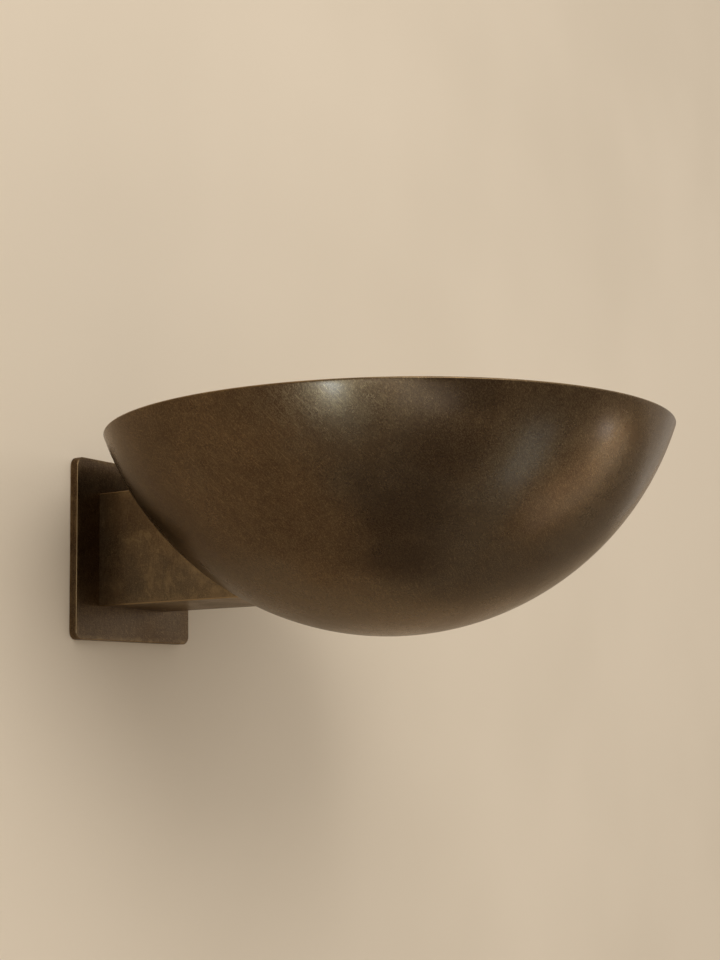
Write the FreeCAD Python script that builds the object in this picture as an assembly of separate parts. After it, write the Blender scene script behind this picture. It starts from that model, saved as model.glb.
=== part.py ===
"""Uplighter wall sconce: a spun metal bowl on a box arm, with a square wall plate.

Units are millimetres. The origin is the centre of the wall plate, on the wall. +X points right for
someone facing the wall, +Y goes into the wall and +Z is up, so the light stands out along -Y.

How it comes apart: the folded wall bracket is screwed to the wall. The wall plate and the box arm, brazed
together, slide over it and are held by two grub screws under the arm. The arm's mouth is cut to the bowl's
curve and carries a saddle bar. Two bolts and a bent hollow tube clamp the bowl between this bar and a
backing plate inside the bowl. The tube brings the lead to the lampholder, which holds a screw-in lamp.
"""
import FreeCAD, Part
import math
import os

Vector = FreeCAD.Vector
X_AXIS = Vector(1, 0, 0)
Y_AXIS = Vector(0, 1, 0)
Z_AXIS = Vector(0, 0, 1)
CENTRE = Vector(0, 0, 0)
DIAGONAL = math.sqrt(0.5)  # the sine of 45 degrees, for the middle of a quarter turn

# ---------------------------------------------------------------- driving dimensions
# Wall plate
plate_width = 102.0
plate_height = 102.0
plate_thickness = 5.0
plate_corner_radius = 5.0
plate_edge_radius = 0.6

# Box arm
arm_width = 64.0
arm_height = 64.0
arm_wall = 2.0
arm_edge_radius = 0.8

# Bowl, a cap of a sphere
bowl_diameter = 300.0
bowl_depth = 106.0
bowl_wall = 2.0
bowl_rim_height = 51.5  # above the arm's centre line
bowl_wall_gap = 26.0  # from the wall to the back of the rim
rim_edge_radius = 0.8

# Clearances
seat_gap = 0.1  # curved seats that are clamped or brazed
thread_gap = 0.1  # between a screw and its tapped hole
hole_clearance = 0.25  # between a screw or wire and a plain hole
bracket_clearance = 0.5  # between the wall bracket and the arm's bore
lamp_clearance = 0.5  # between the lamp's cap and the lampholder
contact_gap = 0.3  # between the lamp's tip and the centre contact

# Wall bracket, folded from sheet
bracket_sheet = 2.5
bracket_bend_radius = 1.0
bracket_top_reach = 16.0
bracket_bottom_margin = 3.0  # of the bottom flange in front of the terminal block
fixing_slot_spacing = 47.0
fixing_slot_length = 10.0
fixing_slot_width = 4.8

# Supply bush in the bracket
supply_bore = 9.0
supply_bush_wall = 2.0
supply_collar_width = 2.5
supply_collar_thickness = 2.0
supply_bush_height = 14.0  # above the centre line

# Earth stud and its ring tag
earth_stud_diameter = 4.0
earth_stud_length = 12.0
earth_stud_x = -21.0
earth_stud_height = 15.0
earth_nut_width = 7.0
earth_nut_thickness = 3.2
tag_ring_width = 2.0
tag_thickness = 0.8
tag_neck = 1.0  # between the ring and the barrel
tag_barrel_diameter = 3.4
tag_barrel_length = 6.0

# Grub screws that lock the arm on the bracket
grub_diameter = 4.0
grub_length = 4.8
grub_recess = 0.3
grub_spacing = 36.0
grub_from_plate = 7.0
grub_socket_width = 2.0
grub_socket_depth = 2.0

# Terminal block, three poles
pole_count = 3
pole_pitch = 9.5
block_depth = 14.0
block_base_height = 9.0
block_turret_diameter = 6.4
block_turret_height = 4.0
block_screw_pitch = 7.4
block_from_plate = 9.0
clamp_diameter = 4.6
clamp_bore = 3.2
clamp_height = 5.0  # of the clamp's centre line above the flange
clamp_screw_diameter = 2.6
fixing_screw_diameter = 3.0
fixing_head_diameter = 5.4
fixing_head_height = 1.8
fixing_head_sink = 1.0  # of its seat below the block's top
driver_slot_width = 0.7
driver_slot_depth = 0.6
screw_sink = 0.3  # of the clamping screws below their turrets

# Saddle bar, backing plate and their bolts
saddle_thickness = 8.0
saddle_height = 36.0
backing_thickness = 6.0
backing_width = 60.0
backing_height = 36.0
backing_corner_radius = 6.0
bolt_spacing = 40.0
bolt_diameter = 6.0
bolt_head_diameter = 10.5
bolt_head_height = 3.3
bolt_socket_width = 4.0
bolt_socket_depth = 2.0
bolt_tip = 1.0
washer_width = 3.0
washer_thickness = 1.2

# Bent tube that carries the lampholder
tube_diameter = 10.0
tube_bore = 7.0
tube_bend_radius = 30.0
tube_straight = 3.0  # between the inner nut and the bend
tube_end_length = 9.0  # straight end that screws into the lampholder
tube_thread_length = 8.0
tube_tail = 1.5
nut_width = 14.0
nut_thickness = 4.0
tube_washer_thickness = 1.0
tube_washer_diameter = 17.0

# Lead to the lamp
lead_diameter = 6.0
lead_tail = 2.0  # sheath beyond the tube
core_diameter = 1.9
core_spacing = 2.0
core_insertion = 4.0  # into the terminal clamp
core_straight = 6.0  # beside the sheath and beside the clamp
link_drop = 12.0  # the earth link's straight run below its ring tag
link_from_bracket = 3.0

# Lampholder
holder_diameter = 38.0
holder_length = 52.0
holder_wall = 1.0
holder_collar_diameter = 16.0
holder_collar_length = 6.0
holder_overlap = 4.0
holder_lip_width = 1.0
holder_lip_length = 2.0
insert_base = 7.0
contact_reach = 3.7  # from the socket's floor to the lamp's tip
insert_recess = 2.0
screw_shell_wall = 0.7
contact_thickness = 0.6
contact_diameter = 7.0
contact_width = 3.5

# Screw-in lamp
lamp_cap_diameter = 26.2
lamp_cap_wall = 0.5
lamp_cap_length = 25.0
lamp_length = 107.0
lamp_diameter = 60.0
lamp_insertion = 24.0
glass_wall = 0.8
glass_in_cap = 6.0
neck_fillet_radius = 35.0
insulator_height = 4.0
tip_diameter = 9.0
tip_height = 1.5
stem_diameter = 6.0
stem_length = 44.0
stem_flare_height = 5.0
spider_diameter = 17.0
spider_thickness = 1.0
filament_diameter = 1.8
filament_circle = 13.0
filament_length = 24.0
filament_count = 4

# ---------------------------------------------------------------- derived places
bore_width = arm_width - 2 * arm_wall
bore_height = arm_height - 2 * arm_wall
bowl_radius = bowl_diameter / 2
sphere_radius = (bowl_radius**2 + bowl_depth**2) / (2 * bowl_depth)
bowl_inner_radius = sphere_radius - bowl_wall
bowl_bottom = bowl_rim_height - bowl_depth
sphere_centre = Vector(0, -(bowl_wall_gap + bowl_radius), bowl_bottom + sphere_radius)

# The clamp axis runs from the sphere's centre to the point where the arm's centre line meets the bowl.
# Distances along it are measured from the sphere's centre.
clamp_slope = math.asin(sphere_centre.z / sphere_radius)
clamp_axis = Vector(0, math.cos(clamp_slope), -math.sin(clamp_slope))
saddle_back = sphere_radius + seat_gap + saddle_thickness
backing_face = bowl_inner_radius - seat_gap - backing_thickness
tube_tail_end = saddle_back + nut_thickness + tube_tail
tube_bend_start = backing_face - tube_washer_thickness - nut_thickness - tube_straight

# The tube bends from the clamp axis to level. Its level end sets the lamp's axis.
bend_start = sphere_centre + clamp_axis * tube_bend_start
bend_centre = bend_start - Vector(0, math.sin(clamp_slope), math.cos(clamp_slope)) * tube_bend_radius
bend_middle = bend_centre + Vector(
    0, math.sin(clamp_slope / 2), math.cos(clamp_slope / 2)
) * tube_bend_radius
bend_end = bend_centre + Z_AXIS * tube_bend_radius
tube_end = bend_end - Y_AXIS * tube_end_length
holder_back = tube_end + Y_AXIS * tube_thread_length

# Distances in front of the lampholder's back, along the lamp's axis
holder_radius = holder_diameter / 2
lamp_tip = holder_length - lamp_insertion
socket_floor = lamp_tip - contact_reach
insert_back = socket_floor - insert_base
insert_front = holder_length - insert_recess
holder_cap_length = insert_back - contact_gap
insert_radius = holder_radius - holder_wall - hole_clearance
screw_shell_bore = lamp_cap_diameter / 2 + lamp_clearance
socket_radius = screw_shell_bore + screw_shell_wall + seat_gap

# Wall bracket and what sits on it
bracket_width = bore_width - 2 * bracket_clearance
bracket_height = bore_height - 2 * bracket_clearance
flange_top = -bracket_height / 2 + bracket_sheet
grub_y = -(plate_thickness + grub_from_plate)
block_back = -(plate_thickness + block_from_plate)
block_front = block_back - block_depth
bracket_bottom_front = block_front - bracket_bottom_margin
block_middle = (block_back + block_front) / 2
block_length = pole_count * pole_pitch
clamp_z = flange_top + clamp_height
block_top = flange_top + block_base_height
turret_top = block_top + block_turret_height
fixing_head_seat = block_top - fixing_head_sink
fixing_screw_x = pole_pitch / 2  # between two poles
tag_bore = earth_stud_diameter + 2 * thread_gap
tag_ring_diameter = tag_bore + 2 * tag_ring_width
tag_barrel_top = earth_stud_height - tag_ring_diameter / 2 - tag_neck
pole_x = [(n - (pole_count - 1) / 2) * pole_pitch for n in range(pole_count)]


# ---------------------------------------------------------------- helpers
def block(x_range, y_range, z_range):
    """A box between two places on each axis."""
    low = Vector(min(x_range), min(y_range), min(z_range))
    size = [abs(r[1] - r[0]) for r in (x_range, y_range, z_range)]
    return Part.makeBox(*size, low)


def rod(diameter, start, end):
    """A round bar between two points."""
    return Part.makeCylinder(diameter / 2, (end - start).Length, start, end - start)


def pipe(outer, inner, start, end):
    """A round bar with a bore right through."""
    return rod(outer, start, end).cut(rod(inner, start, end))


def rod_in(diameter, x, z, back, front):
    """A round bar along Y at one X and Z."""
    return rod(diameter, Vector(x, back, z), Vector(x, front, z))


def rod_up(diameter, x, y, low, high):
    """A round bar along Z at one X and Y."""
    return rod(diameter, Vector(x, y, low), Vector(x, y, high))


def hexagon(width, start, end):
    """A six-sided bar, width across its flats, between two points."""
    corner = width / math.sqrt(3)
    points = [
        Vector(corner * math.cos(a), corner * math.sin(a), 0)
        for a in (math.radians(60 * n) for n in range(7))
    ]
    bar = Part.Face(Part.makePolygon(points)).extrude(Z_AXIS * (end - start).Length)
    bar.Placement = FreeCAD.Placement(start, FreeCAD.Rotation(Z_AXIS, end - start))
    return bar


def rounded_rectangle(width, height, radius, thickness):
    """A plate in XY with rounded corners, from Z = 0 up to its thickness."""
    plate = Part.makeBox(width, height, thickness, Vector(-width / 2, -height / 2, 0))
    uprights = [e for e in plate.Edges if abs(e.tangentAt(e.FirstParameter).z) > 0.9]
    return plate.makeFillet(radius, uprights)


def outline(points):
    """Straight edges through points in order. A pair of points in the list is an arc's middle and end."""
    edges = []
    here = points[0]
    for item in points[1:]:
        if isinstance(item, tuple):
            edges.append(Part.Arc(here, item[0], item[1]).toShape())
            here = item[1]
        else:
            edges.append(Part.LineSegment(here, item).toShape())
            here = item
    return Part.Wire(edges)


def turned(points):
    """A solid turned about Z from a closed outline in the XZ plane."""
    return Part.Face(outline(points + [points[0]])).revolve(CENTRE, Z_AXIS, 360)


def at(radius, height):
    """A point of a turned outline."""
    return Vector(radius, 0, height)


def on_clamp_axis(shape):
    """Places a shape drawn about Z, with the sphere's centre at its origin, on the clamp axis.
    Its own Y then runs down the bowl's side, away from the wall."""
    shape.rotate(CENTRE, X_AXIS, -90 - math.degrees(clamp_slope))
    shape.translate(sphere_centre)
    return shape


def on_lamp_axis(shape):
    """Places a shape drawn about Z, with the lampholder's back at Z = 0, on the lamp's axis."""
    shape.rotate(CENTRE, X_AXIS, 90)
    shape.translate(holder_back)
    return shape


def along(distance, x=0.0):
    """A point beside the Z axis, for shapes drawn before they are placed."""
    return Vector(x, 0, distance)


def both_sides(make, spacing):
    """The same solid at the left and the right of the centre plane."""
    return Part.makeCompound([make(-spacing / 2), make(spacing / 2)])


def wire_path(points):
    """Straight runs joined by tangent arcs, each as large as its two runs allow. Prints the radii."""
    edges = []
    radii = []
    here = points[0]
    for before, corner, after in zip(points, points[1:], points[2:]):
        arriving = (corner - before).normalize()
        leaving = (after - corner).normalize()
        turn = arriving.getAngle(leaving)
        reach = 0.45 * min((corner - before).Length, (after - corner).Length)
        radius = reach / math.tan(turn / 2)
        radii.append(round(radius, 1))
        start = corner - arriving * reach
        end = corner + leaving * reach
        inwards = (leaving - arriving).normalize()
        middle = corner + inwards * (radius / math.cos(turn / 2) - radius)
        edges.append(Part.LineSegment(here, start).toShape())
        edges.append(Part.Arc(start, middle, end).toShape())
        here = end
    edges.append(Part.LineSegment(here, points[-1]).toShape())
    print(f"  wire bends at radii {radii} mm")
    return Part.Wire(edges)


def swept(path, diameter):
    """A round cord or bar along a path. Prints its volume as a share of its section times its length."""
    first = path.OrderedEdges[0]
    start = first.valueAt(first.FirstParameter)
    section = Part.Wire(Part.makeCircle(diameter / 2, start, first.tangentAt(first.FirstParameter)))
    solid = path.makePipeShell([section], True, False)
    expected = math.pi * diameter**2 / 4 * path.Length
    print(f"  {diameter} mm round, {path.Length:.1f} mm long, {solid.Volume / expected:.4f} of the volume")
    return solid


# ---------------------------------------------------------------- wall side
def wall_bracket():
    """Folded sheet with a short top flange and a long bottom flange for the terminal block."""
    half = bracket_height / 2
    inner = half - bracket_sheet
    outer_radius = bracket_bend_radius + bracket_sheet

    def folded(y, z):
        return Vector(-bracket_width / 2, y, z)

    def bend(radius, side):
        """The middle of a bend's arc. Both arcs of a bend share one centre."""
        reach = radius * DIAGONAL
        return folded(-outer_radius + reach, side * (half - outer_radius + reach))

    profile = outline(
        [
            folded(bracket_bottom_front, -half),
            folded(-outer_radius, -half),
            (bend(outer_radius, -1), folded(0, -half + outer_radius)),
            folded(0, half - outer_radius),
            (bend(outer_radius, 1), folded(-outer_radius, half)),
            folded(-bracket_top_reach, half),
            folded(-bracket_top_reach, inner),
            folded(-outer_radius, inner),
            (bend(bracket_bend_radius, 1), folded(-bracket_sheet, half - outer_radius)),
            folded(-bracket_sheet, -half + outer_radius),
            (bend(bracket_bend_radius, -1), folded(-outer_radius, -inner)),
            folded(bracket_bottom_front, -inner),
            folded(bracket_bottom_front, -half),
        ]
    )
    bracket = Part.Face(profile).extrude(X_AXIS * bracket_width)

    slot_radius = fixing_slot_width / 2
    slot_run = fixing_slot_length / 2 - slot_radius
    cuts = []
    for x in (-fixing_slot_spacing / 2, fixing_slot_spacing / 2):
        cuts.append(block((x - slot_run, x + slot_run), (0, -bracket_sheet), (-slot_radius, slot_radius)))
        cuts.append(rod_in(fixing_slot_width, x - slot_run, 0, 0, -bracket_sheet))
        cuts.append(rod_in(fixing_slot_width, x + slot_run, 0, 0, -bracket_sheet))
    bush_hole = supply_bore + 2 * supply_bush_wall + 2 * seat_gap
    cuts.append(rod_in(bush_hole, 0, supply_bush_height, 0, -bracket_sheet))
    stud_hole = earth_stud_diameter + 2 * thread_gap
    cuts.append(rod_in(stud_hole, earth_stud_x, earth_stud_height, 0, -bracket_sheet))
    fixing_hole = fixing_screw_diameter + 2 * thread_gap
    cuts.append(rod_up(fixing_hole, fixing_screw_x, block_middle, -half, flange_top))
    for x in (-grub_spacing / 2, grub_spacing / 2):
        cuts.append(rod_up(grub_diameter + 2 * hole_clearance, x, grub_y, -half, flange_top))
    return bracket.cut(cuts)


def supply_bush():
    """Collared bush that lines the hole for the supply cable, flush with the wall."""
    outer = supply_bore + 2 * supply_bush_wall
    collar = outer + 2 * supply_collar_width
    collar_front = -(bracket_sheet + supply_collar_thickness)
    bush = rod_in(outer, 0, supply_bush_height, 0, -bracket_sheet)
    bush = bush.fuse(rod_in(collar, 0, supply_bush_height, -bracket_sheet, collar_front))
    return bush.cut(rod_in(supply_bore, 0, supply_bush_height, 0, collar_front)).removeSplitter()


def earth_stud():
    """Stud in the bracket, flush with the wall."""
    return rod_in(earth_stud_diameter, earth_stud_x, earth_stud_height, 0, -earth_stud_length)


def earth_ring_tag():
    """Ring under the earth nut, with a barrel that grips the link wire."""
    front = -bracket_sheet - tag_thickness
    half = tag_barrel_diameter / 3
    tag = rod_in(tag_ring_diameter, earth_stud_x, earth_stud_height, -bracket_sheet, front)
    neck = block(
        (earth_stud_x - half, earth_stud_x + half),
        (-bracket_sheet, front),
        (earth_stud_height, tag_barrel_top - tag_barrel_length / 2),
    )
    tag = tag.fuse(neck).cut(rod_in(tag_bore, earth_stud_x, earth_stud_height, -bracket_sheet, front))
    end = tag_barrel_end()
    return tag.fuse(rod(tag_barrel_diameter, end + Z_AXIS * tag_barrel_length, end)).removeSplitter()


def tag_barrel_end():
    """The middle of the barrel's lower end, where the link wire leaves it."""
    y = -bracket_sheet - tag_barrel_diameter / 2
    return Vector(earth_stud_x, y, tag_barrel_top - tag_barrel_length)


def earth_nut():
    """Hexagon nut that clamps the ring tag on the bracket."""
    start = Vector(earth_stud_x, -bracket_sheet - tag_thickness, earth_stud_height)
    end = start - Y_AXIS * earth_nut_thickness
    return hexagon(earth_nut_width, start, end).cut(rod(tag_bore, start, end))


# ---------------------------------------------------------------- terminal block
def clamp_screw_places():
    """X and Y of the six clamping screws."""
    return [
        (x, block_middle + side * block_screw_pitch / 2) for x in pole_x for side in (-1, 1)
    ]


def terminal_block():
    """Insulating body with a turret over each clamping screw."""
    half = block_length / 2
    body = block((-half, half), (block_back, block_front), (flange_top, block_top))
    turrets = [rod_up(block_turret_diameter, x, y, flange_top, turret_top) for x, y in clamp_screw_places()]
    body = body.fuse(turrets).removeSplitter()
    clamp_hole = clamp_diameter + 2 * thread_gap
    screw_hole = clamp_screw_diameter + 2 * hole_clearance
    cuts = [rod_in(clamp_hole, x, clamp_z, block_back, block_front) for x in pole_x]
    cuts += [rod_up(screw_hole, x, y, clamp_z, turret_top) for x, y in clamp_screw_places()]
    shank_hole = fixing_screw_diameter + 2 * hole_clearance
    cuts.append(rod_up(shank_hole, fixing_screw_x, block_middle, flange_top, block_top))
    head_hole = fixing_head_diameter + 2 * hole_clearance
    cuts.append(rod_up(head_hole, fixing_screw_x, block_middle, fixing_head_seat, block_top))
    return body.cut(cuts)


def terminal_clamps():
    """The brass tubes that take the wires, drilled for their screws."""
    tubes = []
    for pole in pole_x:
        tube = rod_in(clamp_diameter, pole, clamp_z, block_back, block_front)
        cuts = [rod_in(clamp_bore, pole, clamp_z, block_back, block_front)]
        for x, y in clamp_screw_places():
            if x == pole:
                tapped = clamp_screw_diameter + 2 * thread_gap
                cuts.append(rod_up(tapped, x, y, clamp_z, clamp_z + clamp_diameter))
        tubes.append(tube.cut(cuts))
    return Part.makeCompound(tubes)


def slotted(screw, x, y, top, reach):
    """A screw with a driver's slot across its top."""
    half = driver_slot_width / 2
    return screw.cut(block((x - reach, x + reach), (y - half, y + half), (top - driver_slot_depth, top)))


def terminal_screws():
    """Slotted screws that press on the wires."""
    tip = clamp_z + core_diameter / 2 + thread_gap
    top = turret_top - screw_sink
    screws = []
    for x, y in clamp_screw_places():
        screw = rod_up(clamp_screw_diameter, x, y, tip, top)
        screws.append(slotted(screw, x, y, top, clamp_screw_diameter))
    return Part.makeCompound(screws)


def terminal_fixing_screw():
    """Pan-head screw that holds the block to the bracket's bottom flange."""
    x = fixing_screw_x
    y = block_middle
    top = fixing_head_seat + fixing_head_height
    screw = rod_up(fixing_screw_diameter, x, y, -bracket_height / 2, fixing_head_seat)
    screw = screw.fuse(rod_up(fixing_head_diameter, x, y, fixing_head_seat, top)).removeSplitter()
    return slotted(screw, x, y, top, fixing_head_diameter)


# ---------------------------------------------------------------- plate and arm
def wall_plate():
    """Square plate with rounded corners and the arm's bore cut through it."""
    plate = rounded_rectangle(plate_width, plate_height, plate_corner_radius, plate_thickness)
    front = [e for e in plate.Edges if all(abs(v.Z - plate_thickness) < 1e-6 for v in e.Vertexes)]
    plate = plate.makeFillet(plate_edge_radius, front)
    plate.rotate(CENTRE, X_AXIS, 90)
    return plate.cut(arm_bore(0, -plate_thickness))


def arm_bore(back, front):
    """The square space inside the arm, between two places along Y."""
    return block((-bore_width / 2, bore_width / 2), (back, front), (-bore_height / 2, bore_height / 2))


def arm_tube():
    """Square tube whose mouth is cut to the bowl's curve, drilled underneath for the grub screws."""
    front = sphere_centre.y
    half_height = arm_height / 2
    tube = block((-arm_width / 2, arm_width / 2), (-plate_thickness, front), (-half_height, half_height))
    long_edges = [e for e in tube.Edges if abs(e.tangentAt(e.FirstParameter).y) > 0.9]
    tube = tube.makeFillet(arm_edge_radius, long_edges)
    cuts = [arm_bore(-plate_thickness, front), Part.makeSphere(sphere_radius + seat_gap, sphere_centre)]
    for x in (-grub_spacing / 2, grub_spacing / 2):
        cuts.append(rod_up(grub_diameter + 2 * thread_gap, x, grub_y, -half_height, -bore_height / 2))
    return tube.cut(cuts)


def grub_screws():
    """Socket set screws, just below the arm's surface, whose tips stand in the bracket's flange."""

    def screw(x):
        head = Vector(x, grub_y, -arm_height / 2 + grub_recess)
        solid = rod(grub_diameter, head, head + Z_AXIS * grub_length)
        return solid.cut(hexagon(grub_socket_width, head, head + Z_AXIS * grub_socket_depth))

    return both_sides(screw, grub_spacing)


def saddle_bar():
    """Bar across the arm's mouth, hollowed to the bowl's curve, drilled for the bolts and the tube."""
    half = bore_width / 2 - seat_gap
    hollow = Part.makeSphere(sphere_radius + seat_gap, CENTRE)
    low = sphere_radius - half  # well inside the hollow
    bar = block((-half, half), (-saddle_height / 2, saddle_height / 2), (low, saddle_back)).cut(hollow)
    cuts = [
        rod(bolt_diameter + 2 * thread_gap, along(low, x), along(saddle_back, x))
        for x in (-bolt_spacing / 2, bolt_spacing / 2)
    ]
    cuts.append(rod(tube_diameter + 2 * hole_clearance, along(low), along(saddle_back)))
    return on_clamp_axis(bar.cut(cuts))


# ---------------------------------------------------------------- bowl and clamp
def bowl():
    """Spun cap of a sphere with a rounded rim."""
    rim = bowl_depth - sphere_radius
    inner_rim_radius = math.sqrt(bowl_inner_radius**2 - rim**2)

    def arc_middle(radius, rim_radius):
        """A point halfway up one of the bowl's two arcs."""
        angle = math.asin(rim_radius / radius) / 2
        return at(radius * math.sin(angle), -radius * math.cos(angle))

    shell = turned(
        [
            at(0, -sphere_radius),
            (arc_middle(sphere_radius, bowl_radius), at(bowl_radius, rim)),
            at(inner_rim_radius, rim),
            (arc_middle(bowl_inner_radius, inner_rim_radius), at(0, -bowl_inner_radius)),
        ]
    )
    rim_edges = [e for e in shell.Edges if all(abs(v.Z - rim) < 1e-6 for v in e.Vertexes)]
    shell = shell.makeFillet(min(rim_edge_radius, 0.4 * bowl_wall), rim_edges)
    shell.translate(sphere_centre)
    near = bowl_inner_radius - 2 * bowl_wall
    far = sphere_radius + bowl_wall
    cuts = [
        rod(bolt_diameter + 2 * hole_clearance, along(near, x), along(far, x))
        for x in (-bolt_spacing / 2, bolt_spacing / 2)
    ]
    cuts.append(rod(tube_diameter + 2 * hole_clearance, along(near), along(far)))
    return shell.cut(on_clamp_axis(Part.makeCompound(cuts)))


def backing_plate():
    """Plate inside the bowl: its back follows the bowl's curve and its face is flat."""
    thickness = backing_thickness + bowl_wall
    plate = rounded_rectangle(backing_width, backing_height, backing_corner_radius, thickness)
    plate.translate(Z_AXIS * backing_face)
    plate = plate.common(Part.makeSphere(bowl_inner_radius - seat_gap, CENTRE))
    cuts = [
        rod(bolt_diameter + 2 * hole_clearance, along(backing_face, x), along(bowl_inner_radius, x))
        for x in (-bolt_spacing / 2, bolt_spacing / 2)
    ]
    cuts.append(rod(tube_diameter + 2 * hole_clearance, along(backing_face), along(bowl_inner_radius)))
    return on_clamp_axis(plate.cut(cuts))


def bolt_washers():
    """Plain washers under the bolts' heads."""

    def washer(x):
        outer = bolt_diameter + 2 * washer_width
        inner = bolt_diameter + 2 * hole_clearance
        return pipe(outer, inner, along(backing_face, x), along(backing_face - washer_thickness, x))

    return on_clamp_axis(both_sides(washer, bolt_spacing))


def bowl_bolts():
    """Button-head bolts from inside the bowl into the saddle bar."""
    seat = backing_face - washer_thickness
    top = seat - bolt_head_height

    def bolt(x):
        dome_radius = (bolt_head_diameter**2 / 4 + bolt_head_height**2) / (2 * bolt_head_height)
        head = rod(bolt_head_diameter, along(seat, x), along(top, x))
        head = head.common(Part.makeSphere(dome_radius, along(top + dome_radius, x)))
        shank = rod(bolt_diameter, along(seat, x), along(saddle_back + bolt_tip, x))
        socket = hexagon(bolt_socket_width, along(top, x), along(top + bolt_socket_depth, x))
        return head.fuse(shank).removeSplitter().cut(socket)

    return on_clamp_axis(both_sides(bolt, bolt_spacing))


# ---------------------------------------------------------------- lamp tube and lead
def lamp_path(start, end):
    """The tube's centre line: from a point on the clamp axis, round the bend, then level to a point."""
    return Part.Wire(
        [
            Part.LineSegment(start, bend_start).toShape(),
            Part.Arc(bend_start, bend_middle, bend_end).toShape(),
            Part.LineSegment(bend_end, end).toShape(),
        ]
    )


def lamp_tube():
    """Bent hollow tube that carries the lampholder and the lead."""
    start = sphere_centre + clamp_axis * tube_tail_end
    path = lamp_path(start, tube_end)
    return swept(path, tube_diameter).cut(swept(path, tube_bore))


def tube_washer():
    """Plain washer between the inner nut and the backing plate."""
    inner = tube_diameter + 2 * hole_clearance
    washer_face = backing_face - tube_washer_thickness
    return on_clamp_axis(pipe(tube_washer_diameter, inner, along(backing_face), along(washer_face)))


def tube_nuts():
    """Hexagon nuts on the tube: one on the washer in the bowl, one behind the saddle bar."""
    bore = tube_diameter + 2 * thread_gap
    washer_face = backing_face - tube_washer_thickness
    nuts = []
    inner_nut = (washer_face - nut_thickness, washer_face)
    outer_nut = (saddle_back, saddle_back + nut_thickness)
    for near, far in (inner_nut, outer_nut):
        nut = hexagon(nut_width, along(near), along(far))
        nuts.append(nut.cut(rod(bore, along(near), along(far))))
    return on_clamp_axis(Part.makeCompound(nuts))


def lead_start():
    """The sheath's end in the arm."""
    return sphere_centre + clamp_axis * (tube_tail_end + lead_tail)


def lamp_lead():
    """Round sheathed lead through the tube, up to the lampholder's insert."""
    end = holder_back - Y_AXIS * (insert_back - thread_gap)
    return swept(lamp_path(lead_start(), end), lead_diameter)


def lead_core(pole):
    """One core from the sheath's end to its terminal clamp."""
    start = lead_start() + X_AXIS * (pole - (pole_count - 1) / 2) * core_spacing
    entry = Vector(pole_x[pole], block_front, clamp_z)
    points = [
        start,
        start + clamp_axis * core_straight,
        entry - Y_AXIS * core_straight,
        entry + Y_AXIS * core_insertion,
    ]
    return swept(wire_path(points), core_diameter)


def earth_link():
    """Short wire from the ring tag to the earth pole, on the block's wall side."""
    tag = tag_barrel_end()
    entry = Vector(pole_x[0], block_back, clamp_z)
    points = [
        tag,
        tag - Z_AXIS * link_drop,
        Vector(entry.x, -(bracket_sheet + link_from_bracket), entry.z),
        entry - Y_AXIS * core_insertion,
    ]
    return swept(wire_path(points), core_diameter)


# ---------------------------------------------------------------- lampholder
def holder_cap():
    """Domed brass cap with a collar that screws on the tube."""
    collar = holder_collar_diameter / 2
    tube_hole = tube_diameter / 2 + thread_gap
    step = holder_radius - holder_wall - seat_gap
    shoulder = holder_cap_length - holder_overlap
    dome_width = holder_radius - collar
    dome_height = shoulder - holder_collar_length

    def dome(shrink):
        """The middle of the dome's arc, moved inwards by shrink."""
        radius = collar + dome_width * DIAGONAL
        height = holder_collar_length + dome_height * (1 - DIAGONAL)
        return at(radius - shrink * DIAGONAL, height + shrink * DIAGONAL)

    return on_lamp_axis(
        turned(
            [
                at(tube_hole, 0),
                at(collar, 0),
                at(collar, holder_collar_length),
                (dome(0), at(holder_radius, shoulder)),
                at(step, shoulder),
                at(step, holder_cap_length),
                at(step - holder_wall, holder_cap_length),
                at(step - holder_wall, shoulder),
                (dome(2 * holder_wall), at(collar, holder_collar_length + 2 * holder_wall)),
                at(tube_hole, holder_collar_length + 2 * holder_wall),
            ]
        )
    )


def holder_shell():
    """Brass sleeve round the porcelain, with a rolled lip at its mouth."""
    back = holder_cap_length - holder_overlap + seat_gap
    inner = holder_radius - holder_wall
    lip = holder_radius + holder_lip_width
    lip_back = holder_length - holder_lip_length
    return on_lamp_axis(
        turned(
            [
                at(inner, back),
                at(holder_radius, back),
                at(holder_radius, lip_back),
                (at(lip, (lip_back + holder_length) / 2), at(holder_radius, holder_length)),
                at(inner, holder_length),
            ]
        )
    )


def holder_insert():
    """Porcelain cup with holes for the lead's cores."""
    cup = turned(
        [
            at(0, insert_back),
            at(insert_radius, insert_back),
            at(insert_radius, insert_front),
            at(socket_radius, insert_front),
            at(socket_radius, socket_floor),
            at(0, socket_floor),
        ]
    )
    core_hole = core_diameter + 2 * hole_clearance
    cuts = []
    for x in (-contact_diameter, contact_diameter):
        cuts.append(rod(core_hole, along(insert_back, x), along(socket_floor, x)))
    return on_lamp_axis(cup.cut(cuts))


def holder_screw_shell():
    """Sheet-metal sleeve that takes the lamp's thread, with a turned-in foot."""
    outer = screw_shell_bore + screw_shell_wall
    foot = socket_floor + screw_shell_wall
    return on_lamp_axis(
        turned(
            [
                at(contact_diameter, socket_floor),
                at(outer, socket_floor),
                at(outer, insert_front),
                at(screw_shell_bore, insert_front),
                at(screw_shell_bore, foot),
                at(contact_diameter, foot),
            ]
        )
    )


def holder_centre_contact():
    """Sprung tongue under the lamp's tip: a foot on the porcelain, a riser and a tongue."""
    top = lamp_tip - contact_gap
    width = (-contact_width / 2, contact_width / 2)
    edge = contact_diameter / 2
    foot = block(width, (-edge, edge), (socket_floor, socket_floor + contact_thickness))
    riser = block(width, (edge - contact_thickness, edge), (socket_floor, top))
    tongue = block(width, (-edge / 2, edge), (top - contact_thickness, top))
    return on_lamp_axis(foot.fuse([riser, tongue]).removeSplitter())


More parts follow.
